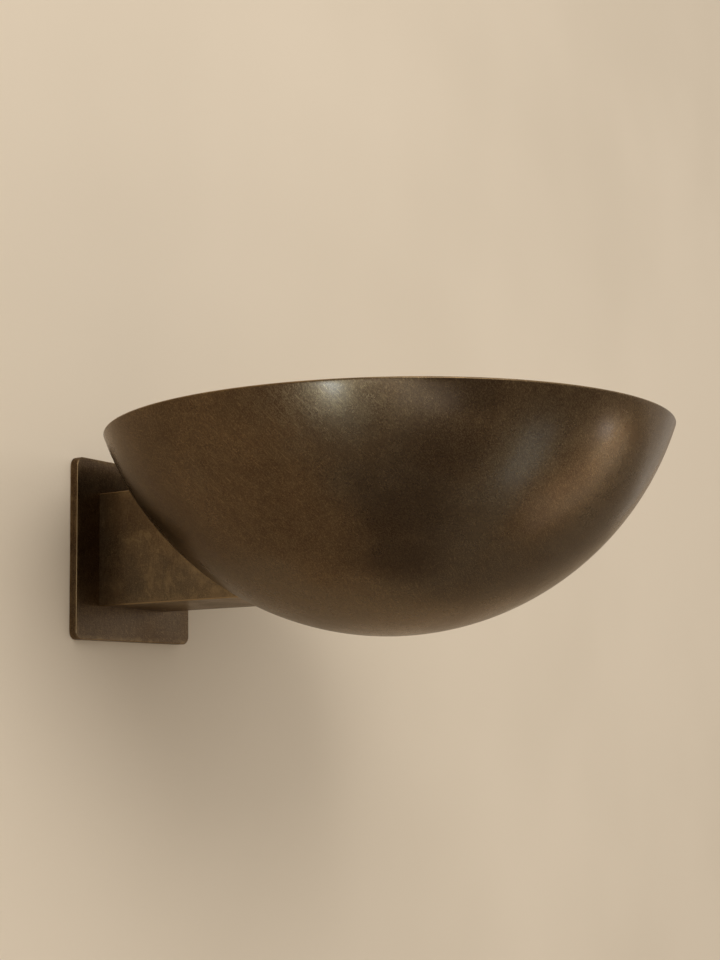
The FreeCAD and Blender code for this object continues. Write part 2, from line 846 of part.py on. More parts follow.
# ---------------------------------------------------------------- lamp
def glass_outline(shrink):
    """Radii and heights that draw the envelope, moved inwards by shrink: neck, fillet and globe."""
    globe = lamp_diameter / 2 - shrink
    globe_height = lamp_tip + lamp_length - lamp_diameter / 2
    neck = lamp_cap_diameter / 2 - lamp_cap_wall - seat_gap - shrink
    fillet = neck_fillet_radius + shrink
    reach = fillet + globe
    fillet_height = globe_height - math.sqrt(reach**2 - (neck + fillet) ** 2)
    joint = Vector(neck + fillet, 0, fillet_height - globe_height).normalize() * globe + at(0, globe_height)
    fillet_centre = at(neck + fillet, fillet_height)
    to_joint = (joint - fillet_centre).normalize()
    fillet_middle = fillet_centre + (to_joint + Vector(-1, 0, 0)).normalize() * fillet
    to_side = (joint - at(0, globe_height)).normalize()
    globe_middle = at(0, globe_height) + (to_side + Z_AXIS).normalize() * globe
    return neck, fillet_height, fillet_middle, joint, globe_middle, at(0, globe_height + globe)


def lamp_glass():
    """Blown envelope with a straight neck set in the cap."""
    foot = lamp_tip + lamp_cap_length - glass_in_cap
    neck, neck_top, fillet_middle, joint, globe_middle, crown = glass_outline(0)
    in_neck, in_top, in_fillet, in_joint, in_globe, in_crown = glass_outline(glass_wall)
    return on_lamp_axis(
        turned(
            [
                at(neck, foot),
                at(neck, neck_top),
                (fillet_middle, joint),
                (globe_middle, crown),
                in_crown,
                (in_globe, in_joint),
                (in_fillet, at(in_neck, in_top)),
                at(in_neck, foot),
            ]
        )
    )


def lamp_cap():
    """Metal screw cap, open at both ends."""
    outer = lamp_cap_diameter / 2
    base = lamp_tip + insulator_height
    top = lamp_tip + lamp_cap_length
    return on_lamp_axis(
        turned(
            [
                at(outer - lamp_cap_wall, base),
                at(outer, base),
                at(outer, top),
                at(outer - lamp_cap_wall, top),
            ]
        )
    )


def lamp_insulator():
    """Dark glass cone that closes the cap round the tip, with a plug inside the cap."""
    base = lamp_tip + insulator_height
    inside = lamp_cap_diameter / 2 - lamp_cap_wall - seat_gap
    return on_lamp_axis(
        turned(
            [
                at(0, lamp_tip + tip_height),
                at(tip_diameter / 2, lamp_tip + tip_height),
                at(lamp_cap_diameter / 2, base - seat_gap),
                at(inside, base - seat_gap),
                at(inside, base + tip_height),
                at(0, base + tip_height),
            ]
        )
    )


def lamp_tip_contact():
    """Solder button at the lamp's end."""
    radius = tip_diameter / 2
    sphere = (radius**2 + tip_height**2) / (2 * tip_height)
    angle = math.asin(radius / sphere) / 2
    middle = at(sphere * math.sin(angle), lamp_tip + sphere - sphere * math.cos(angle))
    return on_lamp_axis(
        turned([at(0, lamp_tip), (middle, at(radius, lamp_tip + tip_height)), at(0, lamp_tip + tip_height)])
    )


def stem_base():
    """Where the stem's flare seals to the neck, above the lamp's foot."""
    return lamp_tip + lamp_cap_length


def lamp_stem():
    """Glass stem that flares to the neck and carries the filaments."""
    base = stem_base()
    flare = lamp_cap_diameter / 2 - lamp_cap_wall - glass_wall - 3 * seat_gap
    stem = stem_diameter / 2
    return on_lamp_axis(
        turned(
            [
                at(0, base),
                at(flare, base),
                at(flare, base + glass_wall),
                at(stem, base + stem_flare_height),
                at(stem, base + stem_length),
                at(0, base + stem_length),
            ]
        )
    )


def filament_bottom():
    """Where the filaments start, so that the upper spider sits just below the stem's end."""
    return stem_base() + stem_length - 2 * spider_thickness - filament_length


def lamp_spiders():
    """Thin metal discs on the stem that carry the filaments' ends."""
    low = filament_bottom() - spider_thickness
    high = filament_bottom() + filament_length
    bore = stem_diameter + 2 * thread_gap
    return on_lamp_axis(
        Part.makeCompound(
            [pipe(spider_diameter, bore, along(z), along(z + spider_thickness)) for z in (low, high)]
        )
    )


def lamp_filaments():
    """Straight glowing rods in a ring round the stem."""
    rods = []
    for n in range(filament_count):
        angle = 2 * math.pi * n / filament_count
        outwards = Vector(math.cos(angle), math.sin(angle), 0)
        foot = along(filament_bottom()) + outwards * (filament_circle / 2)
        rods.append(rod(filament_diameter, foot, foot + Z_AXIS * filament_length))
    return on_lamp_axis(Part.makeCompound(rods))


# ---------------------------------------------------------------- export
makers = {
    "wall_bracket": wall_bracket,
    "supply_bush": supply_bush,
    "earth_stud": earth_stud,
    "earth_ring_tag": earth_ring_tag,
    "earth_nut": earth_nut,
    "earth_link": earth_link,
    "terminal_block": terminal_block,
    "terminal_clamps": terminal_clamps,
    "terminal_screws": terminal_screws,
    "terminal_fixing_screw": terminal_fixing_screw,
    "wall_plate": wall_plate,
    "arm_tube": arm_tube,
    "grub_screws": grub_screws,
    "saddle_bar": saddle_bar,
    "bowl": bowl,
    "backing_plate": backing_plate,
    "bolt_washers": bolt_washers,
    "bowl_bolts": bowl_bolts,
    "lamp_tube": lamp_tube,
    "tube_washer": tube_washer,
    "tube_nuts": tube_nuts,
    "lamp_lead": lamp_lead,
    "earth_core": lambda: lead_core(0),
    "neutral_core": lambda: lead_core(1),
    "live_core": lambda: lead_core(2),
    "holder_cap": holder_cap,
    "holder_shell": holder_shell,
    "holder_insert": holder_insert,
    "holder_screw_shell": holder_screw_shell,
    "holder_centre_contact": holder_centre_contact,
    "lamp_glass": lamp_glass,
    "lamp_cap": lamp_cap,
    "lamp_insulator": lamp_insulator,
    "lamp_tip_contact": lamp_tip_contact,
    "lamp_stem": lamp_stem,
    "lamp_spiders": lamp_spiders,
    "lamp_filaments": lamp_filaments,
}

os.makedirs("parts", exist_ok=True)
for name, make in makers.items():
    solid = make()
    if not solid.isValid() or not solid.Solids:
        raise ValueError(f"{name} isn't a valid solid")
    solid.exportStep(f"parts/{name}.step")
    print(f"{name}: {len(solid.Solids)} solid(s), {solid.Volume / 1000:.2f} cm3")
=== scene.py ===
# %% [markdown]
# # A bowl uplighter on a wall, in aged bronze
# A shallow spun bowl stands out from a wall on a short square arm and a square plate.
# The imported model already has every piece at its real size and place, so this lesson
# only gives it looks: a camera, a wall to hang on, soft light, finishes that follow
# the metal, a skin that is smoother than its facets, and two rolled threads.

# %% Load the pieces
import math

import bpy
import numpy as np
from mathutils import Matrix, Vector


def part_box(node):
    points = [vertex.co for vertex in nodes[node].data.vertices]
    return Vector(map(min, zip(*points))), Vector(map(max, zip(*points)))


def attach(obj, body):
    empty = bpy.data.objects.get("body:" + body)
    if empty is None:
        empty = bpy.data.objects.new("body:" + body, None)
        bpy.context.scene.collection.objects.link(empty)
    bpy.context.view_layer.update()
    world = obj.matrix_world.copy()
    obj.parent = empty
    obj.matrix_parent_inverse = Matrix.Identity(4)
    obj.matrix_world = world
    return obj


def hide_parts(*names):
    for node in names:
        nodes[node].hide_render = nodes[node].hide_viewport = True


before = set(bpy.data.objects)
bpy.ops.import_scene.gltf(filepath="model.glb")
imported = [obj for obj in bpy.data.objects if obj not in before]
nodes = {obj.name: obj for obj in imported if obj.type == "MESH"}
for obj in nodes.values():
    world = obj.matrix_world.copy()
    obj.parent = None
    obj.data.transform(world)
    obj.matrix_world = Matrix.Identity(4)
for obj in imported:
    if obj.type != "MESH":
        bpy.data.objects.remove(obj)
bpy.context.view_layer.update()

scene = bpy.context.scene
scene.view_settings.view_transform = "Standard"

# %% [markdown]
# ## The eye
# The photograph looks up at the lamp from below the arm and from its left. A camera
# is an eye point and three axes: where it looks, its right and its top. They come
# from a yaw, a pitch and a small roll, found by matching corners of the plate, the
# arm and the rim with the picture. The lens is plain, with no shift, so that every
# other view of the lamp is framed as plainly.

# %% Place the camera
PICTURE_WIDTH = 720
PICTURE_HEIGHT = 960
SENSOR = 36.0
LENS = 59.56
YAW = math.radians(59.203)
PITCH = math.radians(8.459)
ROLL = math.radians(-1.02)
EYE = Vector((-0.7215, -0.5877, -0.0955))

level_part = math.cos(PITCH)
forward = Vector((math.sin(YAW) * level_part, math.cos(YAW) * level_part, math.sin(PITCH)))
level_right = Vector((math.cos(YAW), -math.sin(YAW), 0.0))
level_up = level_right.cross(forward)
right = level_right * math.cos(ROLL) + level_up * math.sin(ROLL)
up = level_up * math.cos(ROLL) - level_right * math.sin(ROLL)


def turned_to(place, side, top, back):
    """The matrix of an object at `place` whose own X, Y and Z axes are side, top and back."""
    return Matrix.Translation(place) @ Matrix((side, top, back)).transposed().to_4x4()


lens = bpy.data.cameras.new("eye")
lens.lens = LENS
lens.sensor_width = SENSOR
lens.clip_start = 0.01
eye = bpy.data.objects.new("eye", lens)
scene.collection.objects.link(eye)
eye.matrix_world = turned_to(EYE, right, up, -forward)
scene.camera = eye
print("eye at", [round(c, 3) for c in EYE], "looking along", [round(c, 3) for c in forward])

# %% [markdown]
# ## Small helpers for finishes
# A finish is a graph of small steps. Each helper adds one step to a graph and gives
# back its result, so that a finish reads as a few lines from the metal to its light.

# %% Helpers that add one step to a finish
def feed(tree, socket, value):
    """Joins a socket to another one, or sets it to a plain value."""
    if isinstance(value, bpy.types.NodeSocket):
        tree.links.new(value, socket)
    elif socket.type == "RGBA":
        socket.default_value = (*value, 1.0)
    else:
        socket.default_value = value


def sum_of(tree, operation, first, second=0.0, third=0.0):
    """One sum on two or three numbers, such as ADD, MAXIMUM or MULTIPLY_ADD."""
    step = tree.nodes.new("ShaderNodeMath")
    step.operation = operation
    feed(tree, step.inputs[0], first)
    feed(tree, step.inputs[1], second)
    feed(tree, step.inputs[2], third)
    return step.outputs[0]


def vector_sum(tree, operation, first, second=(0.0, 0.0, 0.0)):
    """One sum on two vectors, such as SUBTRACT, MULTIPLY or ABSOLUTE."""
    step = tree.nodes.new("ShaderNodeVectorMath")
    step.operation = operation
    feed(tree, step.inputs[0], first)
    feed(tree, step.inputs[1], second)
    return step.outputs[0]


def eased(tree, value, low, high, start=0.0, end=1.0):
    """Goes smoothly from start to end while value goes from low to high."""
    step = tree.nodes.new("ShaderNodeMapRange")
    step.interpolation_type = "SMOOTHSTEP"
    for socket, number in zip(step.inputs, (value, low, high, start, end)):
        feed(tree, socket, number)
    return step.outputs[0]


def blended(tree, share, first, second):
    """The first colour, going over to the second as share goes from 0 to 1.

    A mix step lists its sockets for numbers and vectors first. Its two colours are
    inputs 6 and 7, and the colour it gives is output 2.
    """
    step = tree.nodes.new("ShaderNodeMix")
    step.data_type = "RGBA"
    feed(tree, step.inputs[0], share)
    feed(tree, step.inputs[6], first)
    feed(tree, step.inputs[7], second)
    return step.outputs[2]


def noise(tree, place, scale, detail=4.0, roughness=0.55):
    """Soft random spots, about 1 / scale metres apart."""
    step = tree.nodes.new("ShaderNodeTexNoise")
    feed(tree, step.inputs["Vector"], place)
    feed(tree, step.inputs["Scale"], scale)
    feed(tree, step.inputs["Detail"], detail)
    feed(tree, step.inputs["Roughness"], roughness)
    return step.outputs[0]


def place_from(tree, centre):
    """The place on the piece in metres, counted from the given centre."""
    coordinates = tree.nodes.new("ShaderNodeTexCoord")
    mapping = tree.nodes.new("ShaderNodeMapping")
    mapping.inputs["Location"].default_value = [-c for c in centre]
    tree.links.new(coordinates.outputs["Object"], mapping.inputs["Vector"])
    return mapping.outputs["Vector"]


def raised(tree, shader, height, depth, strength=0.3):
    """Lets the height, 0 to 1, lift the surface by up to depth metres."""
    step = tree.nodes.new("ShaderNodeBump")
    step.inputs["Distance"].default_value = depth
    step.inputs["Strength"].default_value = strength
    feed(tree, step.inputs["Height"], height)
    tree.links.new(step.outputs["Normal"], shader.inputs["Normal"])


def new_finish(name):
    """An empty material with its shader, ready for a finish."""
    finish = bpy.data.materials.new(name)
    finish.use_nodes = True
    tree = finish.node_tree
    tree.nodes.clear()
    shader = tree.nodes.new("ShaderNodeBsdfPrincipled")
    output = tree.nodes.new("ShaderNodeOutputMaterial")
    tree.links.new(shader.outputs["BSDF"], output.inputs["Surface"])
    return finish, tree, shader


print("helpers ready")

# %% [markdown]
# ## The wall and the floor
# The lamp lives on a wall, and a curved metal bowl shows whatever stands round it, so
# the wall is there as a backdrop. It is cream paint with the slight unevenness that a
# roller leaves. A wall would hide the lamp from behind, though, and shade the back of
# the plate. So the wall is only there for what looks at it from the room: the eye and
# the mirror images in the metal. Seen from behind it is clear.

# %% Build the wall and the floor
WALL_GAP = 0.0005
WALL_REACH = 3.5
FLOOR_REACH = 7.0
FLOOR_BELOW = 1.1
WALL_TOP = 2.0
PATCH_SCALE = 1.7
STIPPLE_SCALE = 420.0
STIPPLE_HEIGHT = 0.0002
PAINT_ROUGHNESS = 0.75
PAINT_SHINE = 0.05
CREAM = (0.75, 0.645, 0.51)
SHADED_CREAM = (0.70, 0.60, 0.47)
FLOOR_PALE = (0.42, 0.38, 0.33)
FLOOR_DUSTY = (0.39, 0.35, 0.30)


def stage_sheet(name, corners, finish):
    """A flat four-cornered sheet that belongs to the room, not to the lamp."""
    mesh = bpy.data.meshes.new(name)
    mesh.from_pydata(corners, [], [(0, 1, 2, 3)])
    mesh.materials.append(finish)
    sheet = bpy.data.objects.new(name, mesh)
    scene.collection.objects.link(sheet)


def rolled_paint(name, pale, shaded):
    """Matt paint with broad uneven patches and a fine roller texture."""
    finish, tree, shader = new_finish(name)
    place = place_from(tree, (0, 0, 0))
    broad = eased(tree, noise(tree, place, PATCH_SCALE, 3.0), 0.35, 0.65)
    stipple = noise(tree, place, STIPPLE_SCALE, 2.0)
    feed(tree, shader.inputs["Base Color"], blended(tree, broad, shaded, pale))
    shader.inputs["Roughness"].default_value = PAINT_ROUGHNESS
    shader.inputs["Specular IOR Level"].default_value = PAINT_SHINE
    raised(tree, shader, stipple, STIPPLE_HEIGHT, 0.25)
    return finish, tree, shader


def clear_from_behind(tree, shader):
    """Keeps the paint only for the eye and mirror images that look from the room."""
    clear = tree.nodes.new("ShaderNodeBsdfTransparent")
    path = tree.nodes.new("ShaderNodeLightPath").outputs
    behind = tree.nodes.new("ShaderNodeNewGeometry").outputs["Backfacing"]
    seen = sum_of(tree, "MAXIMUM", path["Is Camera Ray"], path["Is Glossy Ray"])
    seen = sum_of(tree, "MAXIMUM", seen, path["Is Transmission Ray"])
    passed_clear = sum_of(tree, "MINIMUM", path["Transparent Depth"], 1.0)
    hidden = sum_of(tree, "MAXIMUM", behind, passed_clear)
    share = sum_of(tree, "MULTIPLY", seen, sum_of(tree, "SUBTRACT", 1.0, hidden))
    choice = tree.nodes.new("ShaderNodeMixShader")
    tree.links.new(share, choice.inputs[0])
    tree.links.new(clear.outputs["BSDF"], choice.inputs[1])
    tree.links.new(shader.outputs["BSDF"], choice.inputs[2])
    output = next(n for n in tree.nodes if n.type == "OUTPUT_MATERIAL")
    tree.links.new(choice.outputs["Shader"], output.inputs["Surface"])


wall_paint, wall_tree, wall_shader = rolled_paint("cream_wall", CREAM, SHADED_CREAM)
clear_from_behind(wall_tree, wall_shader)
stage_sheet(
    "wall",
    [
        (-WALL_REACH, WALL_GAP, -FLOOR_BELOW),
        (WALL_REACH, WALL_GAP, -FLOOR_BELOW),
        (WALL_REACH, WALL_GAP, WALL_TOP),
        (-WALL_REACH, WALL_GAP, WALL_TOP),
    ],
    wall_paint,
)
stage_sheet(
    "floor",
    [
        (-FLOOR_REACH, -FLOOR_REACH, -FLOOR_BELOW),
        (FLOOR_REACH, -FLOOR_REACH, -FLOOR_BELOW),
        (FLOOR_REACH, FLOOR_REACH, -FLOOR_BELOW),
        (-FLOOR_REACH, FLOOR_REACH, -FLOOR_BELOW),
    ],
    rolled_paint("pale_floor", FLOOR_PALE, FLOOR_DUSTY)[0],
)
print("wall", 2 * WALL_REACH, "m wide, floor", FLOOR_BELOW, "m below the arm")

# %% [markdown]
# ## The bowl's true skin
# The bowl is spun from sheet: part of a sphere outside, the same wall inside, and a
# small round on the rim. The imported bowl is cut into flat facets, which a mirror-like
# metal would show. Worked out as rings of points on the same sphere, the skin is
# smooth from the pole to the rim, and it takes the place of the faceted one.

# %% Work out the bowl's profile
BOWL_RIM_RADIUS = 0.150
BOWL_DEPTH = 0.106
BOWL_WALL = 0.002
RIM_EDGE = 0.0008
RINGS = 90
ROUND_STEPS = 8
POINTS_AROUND = 288
SHARP_EDGE = math.radians(40)

bowl_low, bowl_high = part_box("bowl")
rim_height = bowl_high.z
bowl_axis = (bowl_low + bowl_high) / 2
outer_radius = (BOWL_RIM_RADIUS**2 + BOWL_DEPTH**2) / (2 * BOWL_DEPTH)
inner_radius = outer_radius - BOWL_WALL
sphere_centre = Vector((bowl_axis.x, bowl_axis.y, bowl_low.z + outer_radius))


def bowl_profile():
    """Radius and height from the outer pole over the rim to the inner pole.

    Each wall is an arc, radius r sin(a) and height c - r cos(a). Each rim edge is a
    small arc whose centre lies one edge radius inside the wall and below the rim.
    """
    edge_height = rim_height - RIM_EDGE
    drop = sphere_centre.z - edge_height
    outer_end = math.acos(drop / (outer_radius - RIM_EDGE))
    inner_end = math.acos(drop / (inner_radius + RIM_EDGE))
    outer_edge = (outer_radius - RIM_EDGE) * math.sin(outer_end)
    inner_edge = (inner_radius + RIM_EDGE) * math.sin(inner_end)
    up_turn = np.linspace(outer_end - math.pi / 2, math.pi / 2, ROUND_STEPS)
    down_turn = np.linspace(math.pi / 2, inner_end + math.pi / 2, ROUND_STEPS)
    outside = np.linspace(0.0, outer_end, RINGS)[:-1]
    inside = np.linspace(inner_end, 0.0, RINGS)[1:]
    radius = np.concatenate([
        outer_radius * np.sin(outside),
        outer_edge + RIM_EDGE * np.cos(up_turn),
        inner_edge + RIM_EDGE * np.cos(down_turn),
        inner_radius * np.sin(inside),
    ])
    height = np.concatenate([
        sphere_centre.z - outer_radius * np.cos(outside),
        edge_height + RIM_EDGE * np.sin(up_turn),
        edge_height + RIM_EDGE * np.sin(down_turn),
        sphere_centre.z - inner_radius * np.cos(inside),
    ])
    return radius, height


def smooth_piece(name, mesh):
    """A piece with soft shading, kept crisp only where two faces meet at a sharp edge."""
    mesh.polygons.foreach_set("use_smooth", np.ones(len(mesh.polygons), bool))
    mesh.set_sharp_from_angle(angle=SHARP_EDGE)
    piece = bpy.data.objects.new(name, mesh)
    scene.collection.objects.link(piece)
    return piece


def spun_skin(name, radius, height, axis, around):
    """Turns a profile that starts and ends on the axis into a closed skin.

    A point is axis + r (cos t, sin t) at height h, for the angles t once around. Both
    poles are one point each, and quads join the rings between them.
    """
    angle = np.linspace(0.0, 2 * np.pi, around, endpoint=False)
    ring_x = axis.x + np.outer(radius[1:-1], np.cos(angle))
    ring_y = axis.y + np.outer(radius[1:-1], np.sin(angle))
    ring_z = np.repeat(height[1:-1, None], around, axis=1)
    rings = np.stack([ring_x, ring_y, ring_z], axis=-1).reshape(-1, 3)
    first = np.array([[axis.x, axis.y, height[0]]])
    last = np.array([[axis.x, axis.y, height[-1]]])
    points = np.concatenate([first, rings, last])
    count = len(radius) - 2
    index = 1 + np.arange(count * around).reshape(count, around)
    beside = np.roll(index, -1, axis=1)
    quads = np.stack([index[:-1], beside[:-1], beside[1:], index[1:]], axis=-1).reshape(-1, 4)
    bottom = np.stack([np.zeros(around, int), beside[0], index[0]], axis=-1)
    top = np.stack([index[-1], beside[-1], np.full(around, len(points) - 1)], axis=-1)
    mesh = bpy.data.meshes.new(name)
    mesh.from_pydata(points.tolist(), [], quads.tolist() + bottom.tolist() + top.tolist())
    return smooth_piece(name, mesh)


bowl_skin = spun_skin("bowl_skin", *bowl_profile(), bowl_axis, POINTS_AROUND)
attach(bowl_skin, "sconce")
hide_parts("bowl")
skin_faces = len(bowl_skin.data.polygons)
print("bowl skin:", skin_faces, "faces, sphere radius", round(outer_radius, 5), "m")

# %% [markdown]
# ## Rolled threads
# The lamp's cap and the sleeve that takes it are thin sheet with a round thread rolled
# into it, so the inside of the sheet follows the outside. A thread is a wave that
# climbs one pitch for each turn. Both pieces count their distance from the same place,
# so that the crests of the cap lie in the grooves of the sleeve. The thread runs from
# the end of the cap's insulator to the foot of its glass, and so stays clear of both.

# %% Work out a rolled sheet
THREAD_PITCH = 0.00363
THREAD_DEPTH = 0.00095
THREAD_FADE = 0.0010
THREAD_STEPS = 120
THREAD_AROUND = 96


def thread_share(distance, start, end):
    """0 outside the threaded stretch, 1 inside it, and a ramp at each end."""
    ramp_in = np.clip((distance - start) / THREAD_FADE, 0.0, 1.0)
    ramp_out = np.clip((end - distance) / THREAD_FADE, 0.0, 1.0)
    return ramp_in * ramp_out


def rolled_sleeve(name, axis, radius, distance, share):
    """Carries a closed profile of radius r and distance d round the lamp's axis.

    At the angle t the radius is r - depth * share * (1 - cos(2 pi d / pitch - t)) / 2,
    and the point is the axis + r (cos t, sin t) in X and Z, at -d in Y. That is a
    right-hand thread for someone who screws the lamp in.
    """
    angle = np.linspace(0.0, 2 * np.pi, THREAD_AROUND, endpoint=False)
    wave = (1 - np.cos(2 * np.pi * distance[:, None] / THREAD_PITCH - angle)) / 2
    reach = radius[:, None] - THREAD_DEPTH * share[:, None] * wave
    x = axis.x + reach * np.cos(angle)
    z = axis.z + reach * np.sin(angle)
    y = np.repeat(-distance[:, None], THREAD_AROUND, axis=1)
    points = np.stack([x, y, z], axis=-1).reshape(-1, 3)
    index = np.arange(len(distance) * THREAD_AROUND).reshape(len(distance), THREAD_AROUND)
    beside = np.roll(index, -1, axis=1)
    ahead = np.roll(index, -1, axis=0)
    ahead_beside = np.roll(beside, -1, axis=0)
    quads = np.stack([index, beside, ahead_beside, ahead], axis=-1).reshape(-1, 4)
    mesh = bpy.data.meshes.new(name)
    mesh.from_pydata(points.tolist(), [], quads.tolist())
    return smooth_piece(name, mesh)


thread_start = -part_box("lamp_insulator")[0].y
thread_end = -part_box("lamp_glass")[1].y
print("thread:", round((thread_end - thread_start) / THREAD_PITCH, 1), "turns")

# %% [markdown]
# ### The lamp's cap
# The cap is one straight sheet. Its profile runs out along the outer face and back along
# the inner one, and both carry the same wave.

# %% Roll the lamp's cap
CAP_SHEET = 0.0004

cap_low, cap_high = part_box("lamp_cap")
lamp_axis = (cap_low + cap_high) / 2
cap_radius = (cap_high.x - cap_low.x) / 2
along_cap = np.linspace(-cap_high.y, -cap_low.y, THREAD_STEPS)
cap_share = thread_share(along_cap, thread_start, thread_end)
cap_piece = rolled_sleeve(
    "lamp_cap_rolled",
    lamp_axis,
    np.repeat([cap_radius, cap_radius - CAP_SHEET], THREAD_STEPS),
    np.concatenate([along_cap, along_cap[::-1]]),
    np.concatenate([cap_share, cap_share[::-1]]),
)
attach(cap_piece, "lamp")
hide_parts("lamp_cap")
print("cap:", len(cap_piece.data.polygons), "faces")

# %% [markdown]
# ### The lampholder's sleeve
# The sleeve has a foot turned in at its back. Its profile starts at the bore of the
# foot, runs along the outside to the open end and comes back inside.

# %% Roll the lampholder's sleeve
SLEEVE_SHEET = 0.0007
SLEEVE_FOOT_BORE = 0.007

sleeve_low, sleeve_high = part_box("holder_screw_shell")
sleeve_radius = (sleeve_high.x - sleeve_low.x) / 2
sleeve_back, sleeve_front = -sleeve_high.y, -sleeve_low.y
foot_front = sleeve_back + SLEEVE_SHEET
outside = np.linspace(sleeve_back, sleeve_front, THREAD_STEPS)
inside = np.linspace(sleeve_front, foot_front, THREAD_STEPS)
sleeve_distance = np.concatenate([[sleeve_back], outside, inside, [foot_front]])
sleeve_walls = np.repeat([sleeve_radius, sleeve_radius - SLEEVE_SHEET], THREAD_STEPS)
sleeve_piece = rolled_sleeve(
    "holder_sleeve_rolled",
    lamp_axis,
    np.concatenate([[SLEEVE_FOOT_BORE], sleeve_walls, [SLEEVE_FOOT_BORE]]),
    sleeve_distance,
    thread_share(sleeve_distance, thread_start, thread_end),
)
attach(sleeve_piece, "sconce")
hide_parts("holder_screw_shell")
print("sleeve:", len(sleeve_piece.data.polygons), "faces")

# %% [markdown]
# ## Soft light
# A studio lights metal with large pale panels, because the metal shows them as its
# highlights. A big panel above and one behind light everything evenly. The others are
# placed by what the photograph shows in the bowl: a line of sight through a pixel meets
# the sphere, bounces off it, and the panel stands where the bounced line goes. They only
# show as mirror images and leave matt paint alone, so the wall gets no bright patches.

# %% Find where a panel has to stand
FOCAL = LENS * PICTURE_HEIGHT / SENSOR


def mirrored(pixel):
    """Where a line of sight meets the bowl's sphere, and its direction after the bounce."""
    sight = forward * FOCAL
    sight += right * (pixel[0] - PICTURE_WIDTH / 2) + up * (PICTURE_HEIGHT / 2 - pixel[1])
    sight.normalize()
    offset = EYE - sphere_centre
    toward = offset.dot(sight)
    reach = -toward - math.sqrt(toward**2 - offset.length_squared + outer_radius**2)
    point = EYE + sight * reach
    normal = (point - sphere_centre) / outer_radius
    return point, sight - 2 * sight.dot(normal) * normal


def light_panel(name, place, aim, width, height, brightness, colour, along=Vector((1, 0, 0))):
    """A soft panel that faces aim, with its width along the given direction.

    A panel as bright as plain white paint in full light has a brightness of 1. The
    power that gives it is four times the area.
    """
    data = bpy.data.lights.new(name, "AREA")
    data.shape = "RECTANGLE"
    data.size = width
    data.size_y = height
    data.energy = 4 * width * height * brightness
    data.color = colour
    panel = bpy.data.objects.new(name, data)
    scene.collection.objects.link(panel)
    back = (place - aim).normalized()
    side = (along - back * along.dot(back)).normalized()
    panel.matrix_world = turned_to(place, side, back.cross(side), back)
    panel.visible_camera = False
    print(name, [round(c, 2) for c in place])
    return panel


def mirrored_panel(name, pixel, distance, width, height, brightness, colour):
    """A panel that shows in the bowl at the given pixel."""
    point, bounce = mirrored(pixel)
    panel = light_panel(name, point + bounce * distance, point, width, height, brightness, colour)
    panel.visible_diffuse = False


def mirrored_streak(name, start, end, distance, width, brightness, colour):
    """A long panel whose image in the bowl runs from one pixel to another."""
    start_point, start_bounce = mirrored(start)
    end_point, end_bounce = mirrored(end)
    low = start_point + start_bounce * distance
    high = end_point + end_bounce * distance
    place = (low + high) / 2
    aim = (start_point + end_point) / 2
    length = (high - low).length
    panel = light_panel(name, place, aim, length, width, brightness, colour, high - low)
    panel.visible_diffuse = False


print("focal length:", round(FOCAL), "pixels")

# %% [markdown]
# ### The panels and the room
# The highlight at the rim is a small bluish window, with a wide sheen beside it. On the
# right are a bluish patch, a warm streak that slants across the bowl, and a pale spot at
# its upper end. The room itself is an even pale grey.

# %% Hang the light panels
HIGHLIGHT_AT_RIM = (330, 379)
SHEEN_UNDER_RIM = (400, 378)
PALE_SPOT = (606, 430)
COOL_START = (508, 484)
COOL_END = (544, 424)
STREAK_START = (528, 518)
STREAK_END = (624, 424)
WINDOW_AWAY = 1.6
SHEEN_AWAY = 1.7
SIDE_AWAY = 1.3
ROOM_LIGHT = (0.86, 0.83, 0.79)
DAY_LIGHT = (1.0, 0.98, 0.95)
WINDOW_LIGHT = (0.58, 0.79, 1.0)
COOL_LIGHT = (0.80, 0.90, 1.0)
SKY_LIGHT = (0.42, 0.68, 1.0)
LAMP_LIGHT = (1.0, 0.85, 0.70)
BOWL_MIDDLE = Vector((0.0, -0.15, 0.0))

light_panel("panel_above", Vector((-1.1, -1.9, 1.5)), BOWL_MIDDLE, 1.5, 1.5, 3.1, DAY_LIGHT)
light_panel("panel_behind", Vector((0.9, 1.8, 1.2)), BOWL_MIDDLE, 1.2, 1.2, 1.0, DAY_LIGHT)
mirrored_panel("panel_window", HIGHLIGHT_AT_RIM, WINDOW_AWAY, 0.26, 0.10, 52.0, WINDOW_LIGHT)
mirrored_panel("panel_sheen", SHEEN_UNDER_RIM, SHEEN_AWAY, 1.5, 0.40, 1.4, COOL_LIGHT)
mirrored_panel("panel_spot", PALE_SPOT, SIDE_AWAY, 0.17, 0.09, 7.5, COOL_LIGHT)
mirrored_streak("panel_cool", COOL_START, COOL_END, SIDE_AWAY, 0.26, 1.3, SKY_LIGHT)
mirrored_streak("panel_streak", STREAK_START, STREAK_END, SIDE_AWAY, 0.36, 1.05, LAMP_LIGHT)

room = bpy.data.worlds.new("room")
room.use_nodes = True
air = room.node_tree.nodes["Background"].inputs
air["Color"].default_value = (*ROOM_LIGHT, 1.0)
air["Strength"].default_value = 1.0
scene.world = room

# %% [markdown]
# ## Effects that several finishes share
# Aged metal is uneven in three ways: broad clouds where the colour went on thicker,
# fine strokes from the brush and cloth that rubbed it, and bright metal where hands
# and cleaning wore the edges. Each is a group that is built once and put into each
# finish with its own sizes.

# %% Helpers for groups
def new_effect(name, inputs, outputs):
    """An empty group with named sockets. Gives the group, its inputs and its results."""
    effect = bpy.data.node_groups.new(name, "ShaderNodeTree")
    for label, kind in inputs:
        effect.interface.new_socket(name=label, in_out="INPUT", socket_type=kind)
    for label in outputs:
        effect.interface.new_socket(name=label, in_out="OUTPUT", socket_type="NodeSocketFloat")
    given = effect.nodes.new("NodeGroupInput")
    results = effect.nodes.new("NodeGroupOutput")
    return effect, given.outputs, results.inputs


